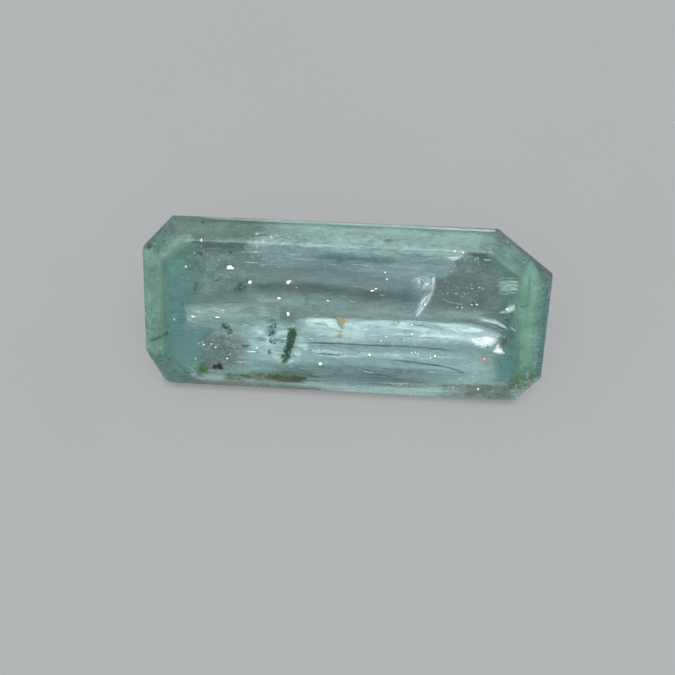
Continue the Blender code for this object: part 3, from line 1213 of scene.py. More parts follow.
# %% Frost
FROST_EDGE = ((-4.25, 2.84, 0.44), (4.45, 2.84, 0.44), (4.45, 2.82, 0.80), (-4.25, 2.82, 0.80))
frost = veil_finish(
    "girdle_frost", rgba(0.86, 1.00, 0.97), rgba(0.62, 0.82, 0.78), (0.70, 0.95), (3.0, 6.0, 6.0),
    (0.7, 1.0),
)
veil("girdle_frost", FROST_EDGE, frost, draw, rounding=1, wobble=0.0, ripple=0.0, swell=-across)

# %% [markdown]
# ## Clouds at the left
#
# The clouds are the large mottled places. At the left are a grey-green one, a whitish patch
# below it, a deep clear pool in the corner, whose teal is the painted light that the end facets
# mirror, and a lens-shaped crack on a dim ground, which is painted shade.

# %% The left clouds
LEFT_CLOUDS = {
    "left_cloud": (
        0.22,
        ((-4.75, 1.95), (-4.46, 2.20), (-3.89, 2.30), (-3.09, 2.25), (-2.60, 2.00),
         (-2.50, 1.50), (-2.30, 0.90), (-2.30, 0.45), (-3.56, 0.25), (-4.60, 0.20)),
        rgba(0.50, 0.74, 0.66), rgba(0.20, 0.36, 0.30), (0.30, 0.92), (7.0, 8.0, 8.0), (0.10, 1.0),
    ),
    "milk_wide": (
        0.22,
        ((-4.75, 0.20), (-3.92, 0.38), (-3.20, 0.44), (-2.40, 0.40), (-1.70, 0.20),
         (-1.70, -0.24), (-2.70, -0.40), (-3.40, -0.44), (-4.60, -0.50)),
        rgba(0.76, 1.00, 0.97), rgba(0.48, 0.76, 0.71), (0.40, 0.95), (2.4, 9.0, 9.0), (0.10, 1.0),
    ),
    # Painted light: the teal that the end facets mirror.
    "left_pool": (
        0.16,
        ((-5.44, -0.50), (-4.80, -0.42), (-4.54, -0.39), (-4.19, -0.34), (-3.76, -0.28),
         (-3.54, -0.35), (-3.50, -0.60), (-3.90, -0.80), (-4.05, -1.10), (-3.80, -1.51),
         (-3.80, -1.98), (-4.55, -2.10), (-5.13, -2.05), (-5.44, -1.38)),
        rgba(0.18, 0.45, 0.41), rgba(0.22, 0.51, 0.46), (0.55, 0.88), (2.0, 3.0, 3.0), (0.35, 1.0),
    ),
    "left_lens": (
        0.19,
        ((-4.18, -0.73), (-3.89, -0.56), (-3.46, -0.58), (-2.94, -0.83), (-2.62, -1.06),
         (-2.88, -1.25), (-3.49, -1.38), (-4.01, -1.25)),
        rgba(0.66, 0.72, 0.72), rgba(0.26, 0.38, 0.38), (0.30, 0.95), (9.0, 11.0, 11.0), (0.20, 1.0),
    ),
    # Painted shade round the lens.
    "left_shadow": (
        0.28,
        ((-4.30, -0.60), (-3.50, -0.40), (-2.90, -0.70), (-2.50, -1.20), (-2.50, -1.80),
         (-3.00, -2.26), (-4.60, -2.30)),
        rgba(0.33, 0.46, 0.42), rgba(0.24, 0.36, 0.33), (0.50, 0.92), (5.0, 8.0, 8.0), (0.05, 1.0),
    ),
}
veils(LEFT_CLOUDS, draw)

# %% [markdown]
# ## Clouds in the middle and at the right
#
# Most of these are painted shade, dark where a crack turns the light away, with a bluish patch
# at the far side and another clear pool in the right corner, whose teal is painted light from
# the end facets. They are darker than what is behind them.

# %% The other clouds
OTHER_CLOUDS = {
    # Dark bands of painted shade.
    "middle_painted_shade": (
        0.90,
        ((-2.90, 0.98), (-1.60, 1.10), (-0.50, 1.10), (0.40, 1.04), (1.30, 0.98), (2.15, 1.05),
         (2.20, 0.60), (1.27, 0.45), (0.18, 0.45), (-0.80, 0.50), (-2.60, 0.60)),
        rgba(0.30, 0.36, 0.37), rgba(0.22, 0.27, 0.28), (0.35, 0.85), (1.2, 7.0, 7.0), (0.20, 1.0),
    ),
    "middle_blue": (
        0.26,
        ((-1.00, 1.86), (-0.61, 2.10), (-0.25, 2.16), (0.62, 2.09), (1.50, 1.98), (1.30, 1.68),
         (0.60, 1.58), (-0.02, 1.54), (-0.80, 1.60)),
        rgba(0.18, 0.38, 0.44), rgba(0.26, 0.46, 0.50), (0.15, 0.75), (2.5, 7.0, 7.0), (0.00, 1.0),
    ),
    "right_painted_shade": (
        0.80,
        ((2.50, 1.55), (3.16, 1.60), (3.87, 1.60), (4.50, 1.72), (4.75, 1.38), (4.78, 0.90),
         (4.50, 0.35), (3.47, 0.26), (2.55, 0.26), (2.34, 0.38), (2.50, 0.75)),
        rgba(0.46, 0.52, 0.52), rgba(0.22, 0.27, 0.27), (0.40, 0.92), (5.0, 7.0, 7.0), (0.35, 1.0),
    ),
    # Painted light: the teal that the end facets mirror.
    "right_pool": (
        0.19,
        ((4.86, -0.70), (4.99, -0.30), (5.30, -0.16), (5.60, -0.30), (5.60, -1.05),
         (5.50, -1.65), (5.27, -1.80), (4.90, -1.86), (4.50, -1.94), (4.44, -1.43),
         (4.34, -0.98), (4.80, -0.94)),
        rgba(0.16, 0.44, 0.39), rgba(0.21, 0.52, 0.46), (0.55, 0.88), (3.0, 5.0, 5.0), (0.20, 1.0),
    ),
}
veils(OTHER_CLOUDS, draw)

# %% [markdown]
# ## Green at the two ends
#
# The crown at both ends shows a paler, warmer green than the inside, where light comes back
# through it, and the end facets below show a bluer green. That light is painted here, in veils
# that follow the sloping crown at an even depth. The inner two lie deeper, under the table, and
# are a bluer green.

# %% The end crowns
CROWN_GRAIN = (5.0, 6.5, 6.5)
# Painted light of the two ends: the crown's paler green and the end facets' bluer green.
END_CROWNS = {
    "left_crown": (
        0.11,
        ((-5.96, 1.90), (-5.60, 2.10), (-5.20, 1.40), (-5.14, 0.50), (-5.10, -1.30),
         (-5.24, -1.75), (-5.80, -1.40), (-5.98, 0.40)),
        rgba(0.40, 0.70, 0.56), rgba(0.23, 0.47, 0.36), (0.85, 1.00), CROWN_GRAIN, (0.30, 1.0),
    ),
    "left_inner": (
        0.30,
        ((-5.60, 2.10), (-4.40, 2.10), (-4.10, 1.40), (-4.20, 0.40), (-4.40, -0.50),
         (-5.60, -0.65), (-5.66, 0.60)),
        rgba(0.26, 0.60, 0.53), rgba(0.21, 0.52, 0.46), (0.55, 0.85), CROWN_GRAIN, (0.10, 1.0),
    ),
    "left_corner": (
        0.13,
        ((-5.80, 1.90), (-5.20, 2.50), (-4.20, 2.60), (-4.30, 1.90), (-5.00, 1.40),
         (-5.60, 1.30)),
        rgba(0.34, 0.58, 0.48), rgba(0.20, 0.40, 0.32), (0.85, 1.00), CROWN_GRAIN, (0.20, 1.0),
    ),
    "left_low": (
        0.13,
        ((-5.80, -1.10), (-5.10, -1.30), (-4.40, -1.80), (-3.90, -2.30), (-4.30, -2.60),
         (-5.30, -2.40)),
        rgba(0.23, 0.45, 0.40), rgba(0.15, 0.35, 0.31), (0.85, 1.00), CROWN_GRAIN, (0.35, 1.0),
    ),
    "right_crown": (
        0.11,
        ((5.40, 2.10), (5.90, 1.40), (5.90, 0.00), (5.76, -1.60), (5.14, -1.60), (5.04, -0.60),
         (4.94, 0.40), (5.00, 1.60)),
        rgba(0.40, 0.75, 0.58), rgba(0.22, 0.52, 0.40), (0.85, 1.00), CROWN_GRAIN, (0.25, 1.0),
    ),
    "right_inner": (
        0.34,
        ((4.40, 2.20), (5.40, 2.10), (5.60, 0.80), (5.54, -0.30), (4.95, -0.22), (4.70, 0.60),
         (4.45, 1.40)),
        rgba(0.30, 0.62, 0.56), rgba(0.22, 0.50, 0.45), (0.50, 0.88), CROWN_GRAIN, (0.15, 1.0),
    ),
    "right_corner": (
        0.13,
        ((3.80, 2.40), (4.40, 2.60), (5.40, 1.90), (5.85, 1.20), (5.50, 0.90), (4.90, 1.50),
         (4.30, 1.90)),
        rgba(0.30, 0.54, 0.47), rgba(0.19, 0.38, 0.33), (0.85, 1.00), CROWN_GRAIN, (0.25, 1.0),
    ),
}
veils(END_CROWNS, draw, settled=True, ripple=0.0)

# %% [markdown]
# ## Cracks
#
# A crack inside a crystal is a gap as thin as a film, and where it faces the light it shines
# like foil. At the right a steep one, feathered along its lower edge, cuts off the band of
# light. Below, a shell-shaped break sweeps to a point, as glass breaks, with its bright face
# cut off sharply at the end. Two long bands are shining films as well, which paint the light
# that the lower facets mirror from overhead, and a few sparkling patches are cracks as well.
#
# Foil shines only when it is turned midway between the eye and the lamp, so the lean of these
# films is worked out first: the lamp's direction is bent into the stone by Snell's law, and the
# direction halfway between it and the sight line gives how much deeper the film must get for
# each millimetre across.

# %% Turned to the light
lamp_inside = bent_inside(Vector(LAMPS["overhead_panel"][0]).normalized())
midway = unit(sight + lamp_inside)
steepness = (midway @ across) / (midway @ facing)
MIRROR_LEAN = steepness / (1.0 + steepness * (sight_per_depth @ across))
print("a mirror to the eye lies", round(float(MIRROR_LEAN), 3), "mm deeper for each mm across")

# %% [markdown]
# ## Films that shine
#
# A crack is a veil with some metal in its shading, which shines like foil where a clear film
# would hardly show. Its row has one number more than a veil's, the way its streaks run. The
# faces of the shell-shaped break, the edge of the feather and a few more are smoother than the
# rest, so they flash where the others only gleam.

# %% Shining films from a table
FOIL = 0.8
PLAIN_ROUGHNESS = 0.5
SHINIER = {
    "shell_heart": 0.36,
    "shell_tooth": 0.40,
    "shell_wing": 0.47,
    "milk_bright": 0.42,
    "feather_edge": 0.40,
    "feather_lobe": 0.42,
    "shard_sheen": 0.42,
    "right_flare": 0.42,
}
BRIGHT_CORE = ((-0.60, -0.20, 0.45), (3.80, -0.16, 0.45))


def foils(table, draw):
    """A shining film for each row of a table, leaning so that it mirrors the lamp."""
    for name, (depth, corners, light, shade, cover, per_mm, fade, slant) in table.items():
        rough = SHINIER.get(name, PLAIN_ROUGHNESS)
        tone = veil_finish(name, light, shade, cover, per_mm, fade, rough, FOIL, slant)
        core = BRIGHT_CORE if name == "bright_band" else None
        edge = flat_outline(corners, depth)
        veil(name, edge, tone, draw, rounding=1, wobble=0.01, lean=MIRROR_LEAN, core=core)


print("smoother films:", ", ".join(SHINIER))

# %% [markdown]
# ## The bright band and the feather
#
# The bright band is the brightest place of all, a long shining film across the middle, which
# paints the light that the lower facets mirror from overhead. The feather stands steep at its
# far side, with streaks that run up it, and its edge and its lower lobe are films of their own,
# because they are brighter than its middle. The last film is a sheen beside the feather, where
# a shard has nearly come loose.

# %% The bright band and the feather
FEATHER = {
    # Painted reflection: the light the lower facets mirror, on a shining film.
    "bright_band": (
        0.45,
        ((-1.50, 0.12), (0.30, 0.18), (1.80, 0.20), (3.00, 0.20), (3.90, 0.10), (4.60, -0.20),
         (4.20, -0.76), (2.60, -0.82), (1.00, -0.86), (-0.40, -1.00), (-1.50, -0.60)),
        rgba(0.84, 1.00, 1.00), rgba(0.60, 0.84, 0.84), (0.35, 0.95),
        (1.2, 9.0, 9.0), (0.1, 1.0), 0.0,
    ),
    "feather": (
        0.40,
        ((1.86, 1.34), (2.12, 1.58), (2.41, 1.66), (2.74, 1.62), (2.71, 1.31), (2.67, 0.95),
         (2.41, 0.80), (2.06, 0.96)),
        rgba(0.90, 1.00, 1.00), rgba(0.48, 0.72, 0.72), (0.00, 0.95),
        (6.0, 26.0, 26.0), (0.20, 1.0), 68.0,
    ),
    "feather_edge": (
        0.34,
        ((2.52, 1.50), (2.68, 1.52), (2.72, 1.24), (2.68, 0.92), (2.52, 0.93), (2.56, 1.24)),
        rgba(0.90, 1.00, 1.00), rgba(0.70, 0.92, 0.92), (0.60, 1.00),
        (4.0, 12.0, 12.0), (0.30, 1.0), 80.0,
    ),
    "feather_lobe": (
        0.36,
        ((2.68, 0.98), (2.56, 0.60), (2.36, 0.26), (2.20, 0.02), (2.10, 0.20), (2.26, 0.69),
         (2.46, 0.88)),
        rgba(0.94, 1.00, 1.00), rgba(0.62, 0.86, 0.86), (0.45, 1.00),
        (4.0, 20.0, 20.0), (0.50, 1.0), 64.0,
    ),
    "shard_sheen": (
        0.42,
        ((2.70, 2.08), (3.14, 2.16), (3.54, 2.20), (3.42, 2.00), (3.24, 1.86), (2.86, 1.88)),
        rgba(1.00, 1.00, 1.00), rgba(0.70, 0.92, 0.92), (0.45, 1.00),
        (3.0, 14.0, 14.0), (0.30, 1.0), 15.0,
    ),
}
foils(FEATHER, draw)

# %% [markdown]
# ## The shell-shaped break
#
# Glass and beryl break in curved faces like the inside of a shell. This one has a broad face
# with a bright heart, a wing above it that narrows to a beak at the right, a tooth where it is
# cut off, and a duller lip along the near side.

# %% The shell-shaped break
SHELL = {
    "shell_face": (
        0.40,
        ((3.20, -0.30), (3.70, -0.12), (4.10, -0.05), (4.55, -0.12), (4.80, -0.32),
         (4.64, -0.55), (4.46, -0.84), (4.10, -0.84), (3.70, -0.70), (3.30, -0.56)),
        rgba(1.00, 1.00, 1.00), rgba(0.72, 0.90, 0.90), (0.30, 1.00),
        (1.5, 11.0, 11.0), (0.20, 1.0), -16.0,
    ),
    "shell_heart": (
        0.34,
        ((3.58, -0.40), (3.95, -0.30), (4.40, -0.28), (4.70, -0.36), (4.58, -0.60),
         (4.42, -0.78), (4.12, -0.84), (3.74, -0.60)),
        rgba(1.00, 1.00, 1.00), rgba(0.88, 1.00, 1.00), (0.45, 1.00),
        (2.0, 10.0, 10.0), (0.10, 1.0), -24.0,
    ),
    "shell_wing": (
        0.38,
        ((3.63, 0.24), (4.08, 0.24), (4.50, 0.22), (4.76, 0.04), (4.92, -0.18), (4.61, -0.08),
         (4.08, 0.06)),
        rgba(1.00, 1.00, 1.00), rgba(0.64, 0.82, 0.82), (0.40, 1.00),
        (2.4, 18.0, 18.0), (0.10, 1.0), -24.0,
    ),
    "shell_beak": (
        0.36,
        ((4.90, -0.02), (5.06, -0.06), (5.30, -0.26), (5.08, -0.22), (4.92, -0.14)),
        rgba(0.80, 0.94, 0.92), rgba(0.50, 0.66, 0.64), (0.20, 1.00),
        (3.0, 14.0, 14.0), (0.10, 1.0), -32.0,
    ),
    "shell_tooth": (
        0.33,
        ((4.60, -0.58), (4.88, -0.93), (4.66, -0.93), (4.44, -0.88)),
        rgba(1.00, 0.97, 0.93), rgba(0.86, 0.90, 0.87), (0.80, 1.00),
        (3.0, 6.0, 6.0), (0.70, 1.0), 0.0,
    ),
    "shell_lip": (
        0.36,
        ((0.60, -1.50), (2.07, -1.48), (3.00, -1.45), (3.80, -1.63), (3.20, -1.80),
         (2.08, -1.76), (0.80, -1.70)),
        rgba(0.38, 0.57, 0.59), rgba(0.26, 0.43, 0.45), (0.25, 0.90),
        (1.4, 12.0, 12.0), (0.10, 1.0), -4.0,
    ),
}
foils(SHELL, draw)

# %% [markdown]
# ## More bands, and patches that sparkle
#
# The rest are a second, fainter band, which paints mirrored light as the first does, a flare
# and fine streaks at the right, the bright part of the milky patch at the left, and two places
# where many tiny cracks sparkle.

# %% The other cracks
OTHER_CRACKS = {
    # Painted reflection, fainter than the bright band.
    "second_band": (
        0.45,
        ((-1.10, -0.98), (0.50, -0.94), (2.60, -0.94), (3.70, -0.98), (4.00, -1.20),
         (2.80, -1.34), (1.00, -1.28), (-0.80, -1.42)),
        rgba(0.80, 1.00, 1.00), rgba(0.50, 0.72, 0.72), (0.10, 0.85),
        (1.6, 12.0, 12.0), (0.10, 1.0), 0.0,
    ),
    "right_flare": (
        0.30,
        ((4.52, 0.34), (4.72, 0.46), (4.84, 0.64), (4.97, 0.76), (5.10, 0.70), (5.08, 0.52),
         (5.16, 0.40), (4.90, 0.34)),
        rgba(1.00, 1.00, 0.98), rgba(0.62, 0.74, 0.72), (0.35, 1.00),
        (5.0, 12.0, 12.0), (0.10, 1.0), 50.0,
    ),
    "milk_bright": (
        0.32,
        ((-4.62, 0.10), (-4.10, 0.14), (-3.56, 0.24), (-3.10, 0.24), (-2.76, 0.04),
         (-3.10, -0.32), (-3.80, -0.34), (-4.56, -0.44)),
        rgba(0.80, 1.00, 0.98), rgba(0.50, 0.78, 0.73), (0.25, 1.00),
        (3.4, 10.0, 10.0), (0.10, 1.0), 0.0,
    ),
    "right_streaks": (
        0.30,
        ((4.42, 1.50), (4.90, 1.58), (5.46, 1.56), (5.50, 1.20), (5.24, 0.92), (4.50, 0.92)),
        rgba(0.66, 0.84, 0.79), rgba(0.40, 0.60, 0.55), (0.00, 0.70),
        (2.2, 30.0, 30.0), (0.00, 1.0), 5.0,
    ),
    "upper_sparkle": (
        0.45,
        ((-3.05, 1.93), (-3.05, 2.40), (-2.40, 2.50), (-1.20, 2.40), (-0.60, 2.20),
         (-0.80, 1.90), (-1.60, 1.55), (-2.30, 1.45), (-2.95, 1.52)),
        rgba(0.70, 0.92, 0.92), rgba(0.44, 0.64, 0.64), (0.05, 0.65),
        (5.0, 14.0, 14.0), (0.00, 1.0), 0.0,
    ),
    "lower_sparkle": (
        0.50,
        ((-3.05, -0.26), (-2.60, -0.10), (-1.90, -0.04), (-1.40, -0.10), (-1.00, -0.40),
         (-0.60, -0.90), (-0.80, -1.50), (-1.50, -1.70), (-2.20, -1.60), (-2.75, -1.20),
         (-3.00, -0.70)),
        rgba(0.88, 1.00, 0.99), rgba(0.32, 0.60, 0.56), (0.15, 1.00),
        (8.0, 18.0, 18.0), (0.35, 1.0), 0.0,
    ),
}
foils(OTHER_CRACKS, draw)

# %% [markdown]
# ## The shard and the notch
#
# The loose shard shows as a dim patch beyond that sheen, and the shell-shaped break ends in a
# small dark notch, whose dark is painted shade. Both are turned away from the lamp, so they are
# plain films and show darker than the foil beside them.

# %% The shard and the notch
SHARDS = {
    "shard": (
        0.45,
        ((3.56, 2.23), (3.70, 2.22), (3.99, 2.06), (4.08, 1.78), (3.90, 1.50), (3.43, 1.45),
         (2.90, 1.48), (3.17, 1.74)),
        rgba(0.46, 0.62, 0.60), rgba(0.34, 0.48, 0.46), (0.40, 0.75), (4.0, 5.0, 5.0), (0.60, 1.0),
    ),
    # Painted shade at the end of the break.
    "shaded_notch": (
        0.33,
        ((4.66, -0.46), (4.82, -0.28), (4.96, -0.30), (4.92, -0.62), (4.73, -0.66)),
        rgba(0.26, 0.38, 0.37), rgba(0.19, 0.30, 0.30), (0.50, 0.90), (4.0, 6.0, 6.0), (0.50, 1.0),
    ),
}
veils(SHARDS, draw, rounding=1, wobble=0.01)

# %% [markdown]
# ## Green flakes, moss and dark specks
#
# The green inside is a second mineral: flakes of mica, in strings, threads and mossy mats, and
# a few nearly black grains. They are solid, so they are pebbles and threads with an earthy
# finish in two greens. The shape is the unit ball, stretched, turned and pushed in and out. A
# normal spread crowds them round a middle, as flakes do that grew from one seed.

# %% An earthy finish
MINERAL_TONES = (0.38, 0.62)
MINERAL_RELIEF = 5e-6


def mineral_finish(name, light, shade, rough, per_mm=(14.0, 14.0, 14.0)):
    """Grains of another mineral: two tones in patches, a rough break and some relief."""
    material, tree, shader = new_finish(name)
    patches = grain(tree, per_mm, detail=4.0)
    share = remap(tree, patches, MINERAL_TONES, (0.0, 1.0))
    tree.links.new(mix_colours(tree, share, light, shade), shader.inputs["Base Color"])
    uneven = remap(tree, patches, MIDDLING, (rough * 0.7, rough))
    tree.links.new(uneven, shader.inputs["Roughness"])
    fine = grain(tree, tuple(value * 4.0 for value in per_mm), detail=3.0)
    values = {"Height": fine, "Strength": 0.6, "Distance": MINERAL_RELIEF}
    relief = add_node(tree, "ShaderNodeBump", values)
    tree.links.new(relief.outputs["Normal"], shader.inputs["Normal"])
    return material


FLAKE_SHAPE = (1.0, 0.8)
FLAKE_STRETCH = (0.7, 1.3)


def clump(middle, spread, count, size, flatness, draw, under=0.0, lumps=0.25):
    """Pebbles thrown round a middle with a normal spread, their half sizes even in a range and
    stretched a little at random. They are settled that many millimetres under the facets."""
    centres = np.array(middle) + draw.normal(0.0, 1.0, (count, 3)) * np.array(spread)
    half = draw.uniform(size[0], size[1], (count, 1)) * np.array([*FLAKE_SHAPE, flatness])
    half[:, :2] *= draw.uniform(*FLAKE_STRETCH, (count, 2))
    return pebbles(centres, half, draw.uniform(0.0, math.pi, count), lumps, draw, under=under)


print("a flake is stretched by", FLAKE_STRETCH[0], "to", FLAKE_STRETCH[1])

# %% [markdown]
# ## Strings and threads
#
# Most flakes hang in strings across the stone, up to eight clumps long, a fifth of a millimetre
# down. Three threads lie higher: a twig with a knot at each end in the left crown, an arrow
# under the table, and a hair at the far side. The crown is lined with green, so they are
# settled above that lining, where they can be seen.

# %% Strings of flakes
draw = np.random.default_rng(23)
flake_green = mineral_finish(
    "flake_green", rgba(0.030, 0.21, 0.062), rgba(0.015, 0.12, 0.038), rough=0.6
)
STRING_GRAINS = (
    (-1.44, -0.50, 0.060, 9), (-1.43, -0.62, 0.070, 12), (-1.44, -0.74, 0.066, 11),
    (-1.49, -0.93, 0.072, 12), (-1.50, -1.04, 0.062, 10), (-1.53, -1.18, 0.068, 11),
    (-1.57, -1.32, 0.060, 8), (-1.62, -1.46, 0.048, 6), (-2.02, -0.22, 0.044, 5),
    (-2.01, -0.43, 0.058, 8), (-2.02, -0.60, 0.058, 8), (-2.02, -0.90, 0.056, 7),
    (-2.07, -1.22, 0.050, 6), (-3.50, -0.47, 0.052, 8), (-3.37, -0.52, 0.058, 9),
    (-3.25, -0.62, 0.054, 8), (-3.01, 0.73, 0.075, 6), (-3.12, 0.66, 0.060, 4),
    (-4.28, 0.80, 0.060, 5),
)
STRING_DEPTH = 0.20
STRING_FLATNESS = 0.5
strings = []
for x, y, reach, count in STRING_GRAINS:
    spread = (reach * 0.9, reach * 0.9, 0.02)
    size = (reach * 0.3, reach * 0.6)
    strings.append(clump((x, y, STRING_DEPTH), spread, count * 2, size, STRING_FLATNESS, draw))
add_piece("flake_strings", strings, flake_green)

MARK_DEPTH = 0.055
THREAD = ((-5.56, -1.07), (-5.40, -0.99), (-5.28, -0.89), (-5.17, -0.82), (-5.08, -0.74))
ARROW = ((-2.89, -1.10), (-2.78, -1.07), (-2.66, -1.04))
HAIR = ((1.14, 2.42), (1.24, 2.43), (1.34, 2.44))
threads = ((*THREAD, 0.020), (*ARROW, 0.024), (*HAIR, 0.020))
fibres = lines(threads, (MARK_DEPTH, MARK_DEPTH), draw, under=MARK_DEPTH)
THREAD_ENDS = (
    (-5.50, -1.04, 0.03, 6, (0.022, 0.034)),
    (-5.10, -0.77, 0.02, 5, (0.020, 0.030)),
)
KNOT_FLATNESS = 0.6
knots = []
for x, y, wide, count, size in THREAD_ENDS:
    middle = (x, y, MARK_DEPTH)
    spread = (wide, 0.02, 0.0)
    knots.append(clump(middle, spread, count, size, KNOT_FLATNESS, draw, under=MARK_DEPTH))
add_piece("flake_threads", [fibres, *knots], flake_green)

# %% [markdown]
# ## Moss and leaves
#
# Along the near edge the flakes are matted like moss, olive and dense, and in the two near
# corners they are larger, leafy and bright green.

# %% Moss along the near edge
MOSS_SIZES = (0.012, 0.034)
MOSS_FLATNESS = 0.5
LEAF_FLATNESS = 0.4
moss_green = mineral_finish(
    "moss_green", rgba(0.13, 0.27, 0.08), rgba(0.05, 0.13, 0.04), rough=0.75
)
leaf_green = mineral_finish(
    "leaf_green", rgba(0.16, 0.42, 0.09), rgba(0.08, 0.25, 0.05), rough=0.7
)
MOSS = (
    (-3.10, -2.02, 0.16, 0.05, 10), (-2.60, -2.00, 0.20, 0.05, 14),
    (-2.05, -1.98, 0.16, 0.05, 16), (-1.80, -2.00, 0.10, 0.05, 30),
    (-1.45, -2.03, 0.12, 0.045, 26), (-1.16, -2.04, 0.09, 0.045, 30),
    (-0.88, -1.93, 0.05, 0.05, 8),
)
mats = []
for x, y, wide, tall, count in MOSS:
    middle = (x, y, MARK_DEPTH)
    spread = (wide, tall, 0.0)
    mats.append(clump(middle, spread, count, MOSS_SIZES, MOSS_FLATNESS, draw, under=MARK_DEPTH))
add_piece("moss", mats, moss_green)
LEAVES = (
    ((-4.08, -1.88, 0.12), (0.07, 0.07, 0.02), 26, (0.020, 0.050)),
    ((-4.00, -1.76, 0.12), (0.04, 0.03, 0.02), 10, (0.015, 0.030)),
    ((5.30, -1.68, MARK_DEPTH), (0.10, 0.06, 0.0), 30, (0.016, 0.040)),
    ((5.58, -1.64, MARK_DEPTH), (0.09, 0.06, 0.0), 30, (0.016, 0.040)),
    ((5.20, -1.96, MARK_DEPTH), (0.16, 0.10, 0.0), 24, (0.010, 0.026)),
)
leaves = []
for middle, spread, count, size in LEAVES:
    leaves.append(clump(middle, spread, count, size, LEAF_FLATNESS, draw, under=MARK_DEPTH))
add_piece("green_leaves", leaves, leaf_green)

# %% [markdown]
# ## Stains round the green
#
# The smallest flakes tint the crystal round them. Modelling each would take thousands, so the
# mats, the leaves, the longest string and a few spots get thin veils in their own green, patchy
# and without an edge.

# %% Green and olive halos
HALOS = {
    "moss_stain": (
        0.11,
        ((-3.55, -1.98), (-2.75, -1.70), (-2.02, -1.74), (-1.40, -1.78), (-0.75, -1.88),
         (-0.85, -2.12), (-1.59, -2.24), (-2.37, -2.26), (-3.40, -2.22)),
        rgba(0.32, 0.45, 0.29), rgba(0.20, 0.32, 0.16), (0.10, 0.95), (5.0, 10.0, 10.0), (0.00, 1.0),
    ),
    "moss_thick": (
        0.10,
        ((-1.98, -1.92), (-1.60, -1.97), (-1.05, -1.98), (-1.05, -2.12), (-1.60, -2.14),
         (-1.98, -2.08)),
        rgba(0.15, 0.30, 0.11), rgba(0.09, 0.20, 0.07), (0.10, 0.95), (5.0, 9.0, 9.0), (0.00, 1.0),
    ),
    "leaf_stain_left": (
        0.22,
        ((-4.25, -1.84), (-4.06, -1.70), (-3.90, -1.80), (-3.95, -2.06), (-4.20, -2.06)),
        rgba(0.10, 0.34, 0.09), rgba(0.12, 0.30, 0.14), (0.25, 0.80), (8.0, 8.0, 8.0), (0.20, 1.0),
    ),
    "leaf_stain_right": (
        0.08,
        ((4.80, -1.92), (5.16, -1.58), (5.42, -1.50), (5.80, -1.50), (5.80, -1.80),
         (5.60, -2.14), (5.24, -2.26)),
        rgba(0.22, 0.44, 0.13), rgba(0.16, 0.34, 0.15), (0.05, 0.90), (5.0, 8.0, 8.0), (0.00, 1.0),
    ),
    "vertex_stain": (
        0.05,
        ((-5.86, 2.02), (-5.66, 2.04), (-5.58, 1.88), (-5.68, 1.72), (-5.86, 1.74)),
        rgba(0.09, 0.20, 0.10), rgba(0.05, 0.13, 0.07), (0.50, 0.90), (8.0, 8.0, 8.0), (0.15, 1.0),
    ),
    "string_stain": (
        0.26,
        ((-1.58, -0.40), (-1.30, -0.40), (-1.32, -0.90), (-1.40, -1.30), (-1.54, -1.58),
         (-1.72, -1.40), (-1.62, -0.90)),
        rgba(0.08, 0.27, 0.14), rgba(0.11, 0.31, 0.20), (0.20, 0.75), (9.0, 6.0, 6.0), (0.20, 1.0),
    ),
    "wisp": (
        0.22,
        ((-1.22, 0.82), (-1.10, 0.80), (-1.02, 0.60), (-0.98, 0.36), (-1.08, 0.34),
         (-1.16, 0.55)),
        rgba(0.14, 0.30, 0.20), rgba(0.20, 0.34, 0.27), (0.00, 0.75), (11.0, 9.0, 9.0), (0.10, 1.0),
    ),
    "cloud_olive": (
        0.45,
        ((-3.35, 0.86), (-3.05, 0.90), (-2.78, 0.78), (-2.80, 0.60), (-3.10, 0.55),
         (-3.34, 0.64)),
        rgba(0.12, 0.18, 0.10), rgba(0.18, 0.24, 0.15), (0.20, 0.75), (9.0, 9.0, 9.0), (0.20, 1.0),
    ),
}
veils(HALOS, draw, settled=True, rough=0.7)

# %% [markdown]
# ## Dark grains
#
# A few clusters are nearly black. Those in the body of the stone sit at one depth, and those in
# the crown are settled just under its facets.

# %% Dark grains
grain_dark = mineral_finish(
    "dark_grain", rgba(0.020, 0.028, 0.022), rgba(0.006, 0.008, 0.007), rough=0.5
)
DARK_GRAINS = (
    (-3.62, -1.76, 0.085, 9), (-3.50, -1.76, 0.085, 9), (-3.55, -1.69, 0.06, 5),
    (-4.21, 1.77, 0.060, 4), (-3.34, 1.84, 0.045, 3), (-3.90, 2.04, 0.035, 3),
    (-4.35, 0.62, 0.055, 4), (-3.69, 0.95, 0.050, 4), (-3.62, 1.02, 0.035, 3),
    (-0.82, -1.90, 0.035, 3), (4.11, -0.69, 0.038, 3), (4.32, -0.72, 0.038, 3),
    (0.62, 2.22, 0.030, 2),
)
CROWN_GRAINS = (
    (-5.78, 1.90, 0.050, 6), (-5.30, 2.05, 0.040, 4), (-4.19, 2.66, 0.050, 5),
    (-5.70, 0.33, 0.025, 2), (2.58, 2.66, 0.034, 3), (1.24, 2.42, 0.030, 2),
    (5.44, 2.02, 0.030, 3),
)
SPECK_DEPTH = 0.19
SPECK_FLATNESS = 0.6
CROWN_FLATNESS = 0.5
specks = []
for x, y, reach, count in DARK_GRAINS:
    spread = (reach * 0.5, reach * 0.35, 0.02)
    size = (reach * 0.35, reach * 0.6)
    specks.append(clump((x, y, SPECK_DEPTH), spread, count, size, SPECK_FLATNESS, draw))
for x, y, reach, count in CROWN_GRAINS:
    middle = (x, y, MARK_DEPTH)
    spread = (reach * 0.5, reach * 0.35, 0.0)
    size = (reach * 0.3, reach * 0.5)
    specks.append(clump(middle, spread, count, size, CROWN_FLATNESS, draw, under=MARK_DEPTH))
add_piece("dark_specks", specks, grain_dark)

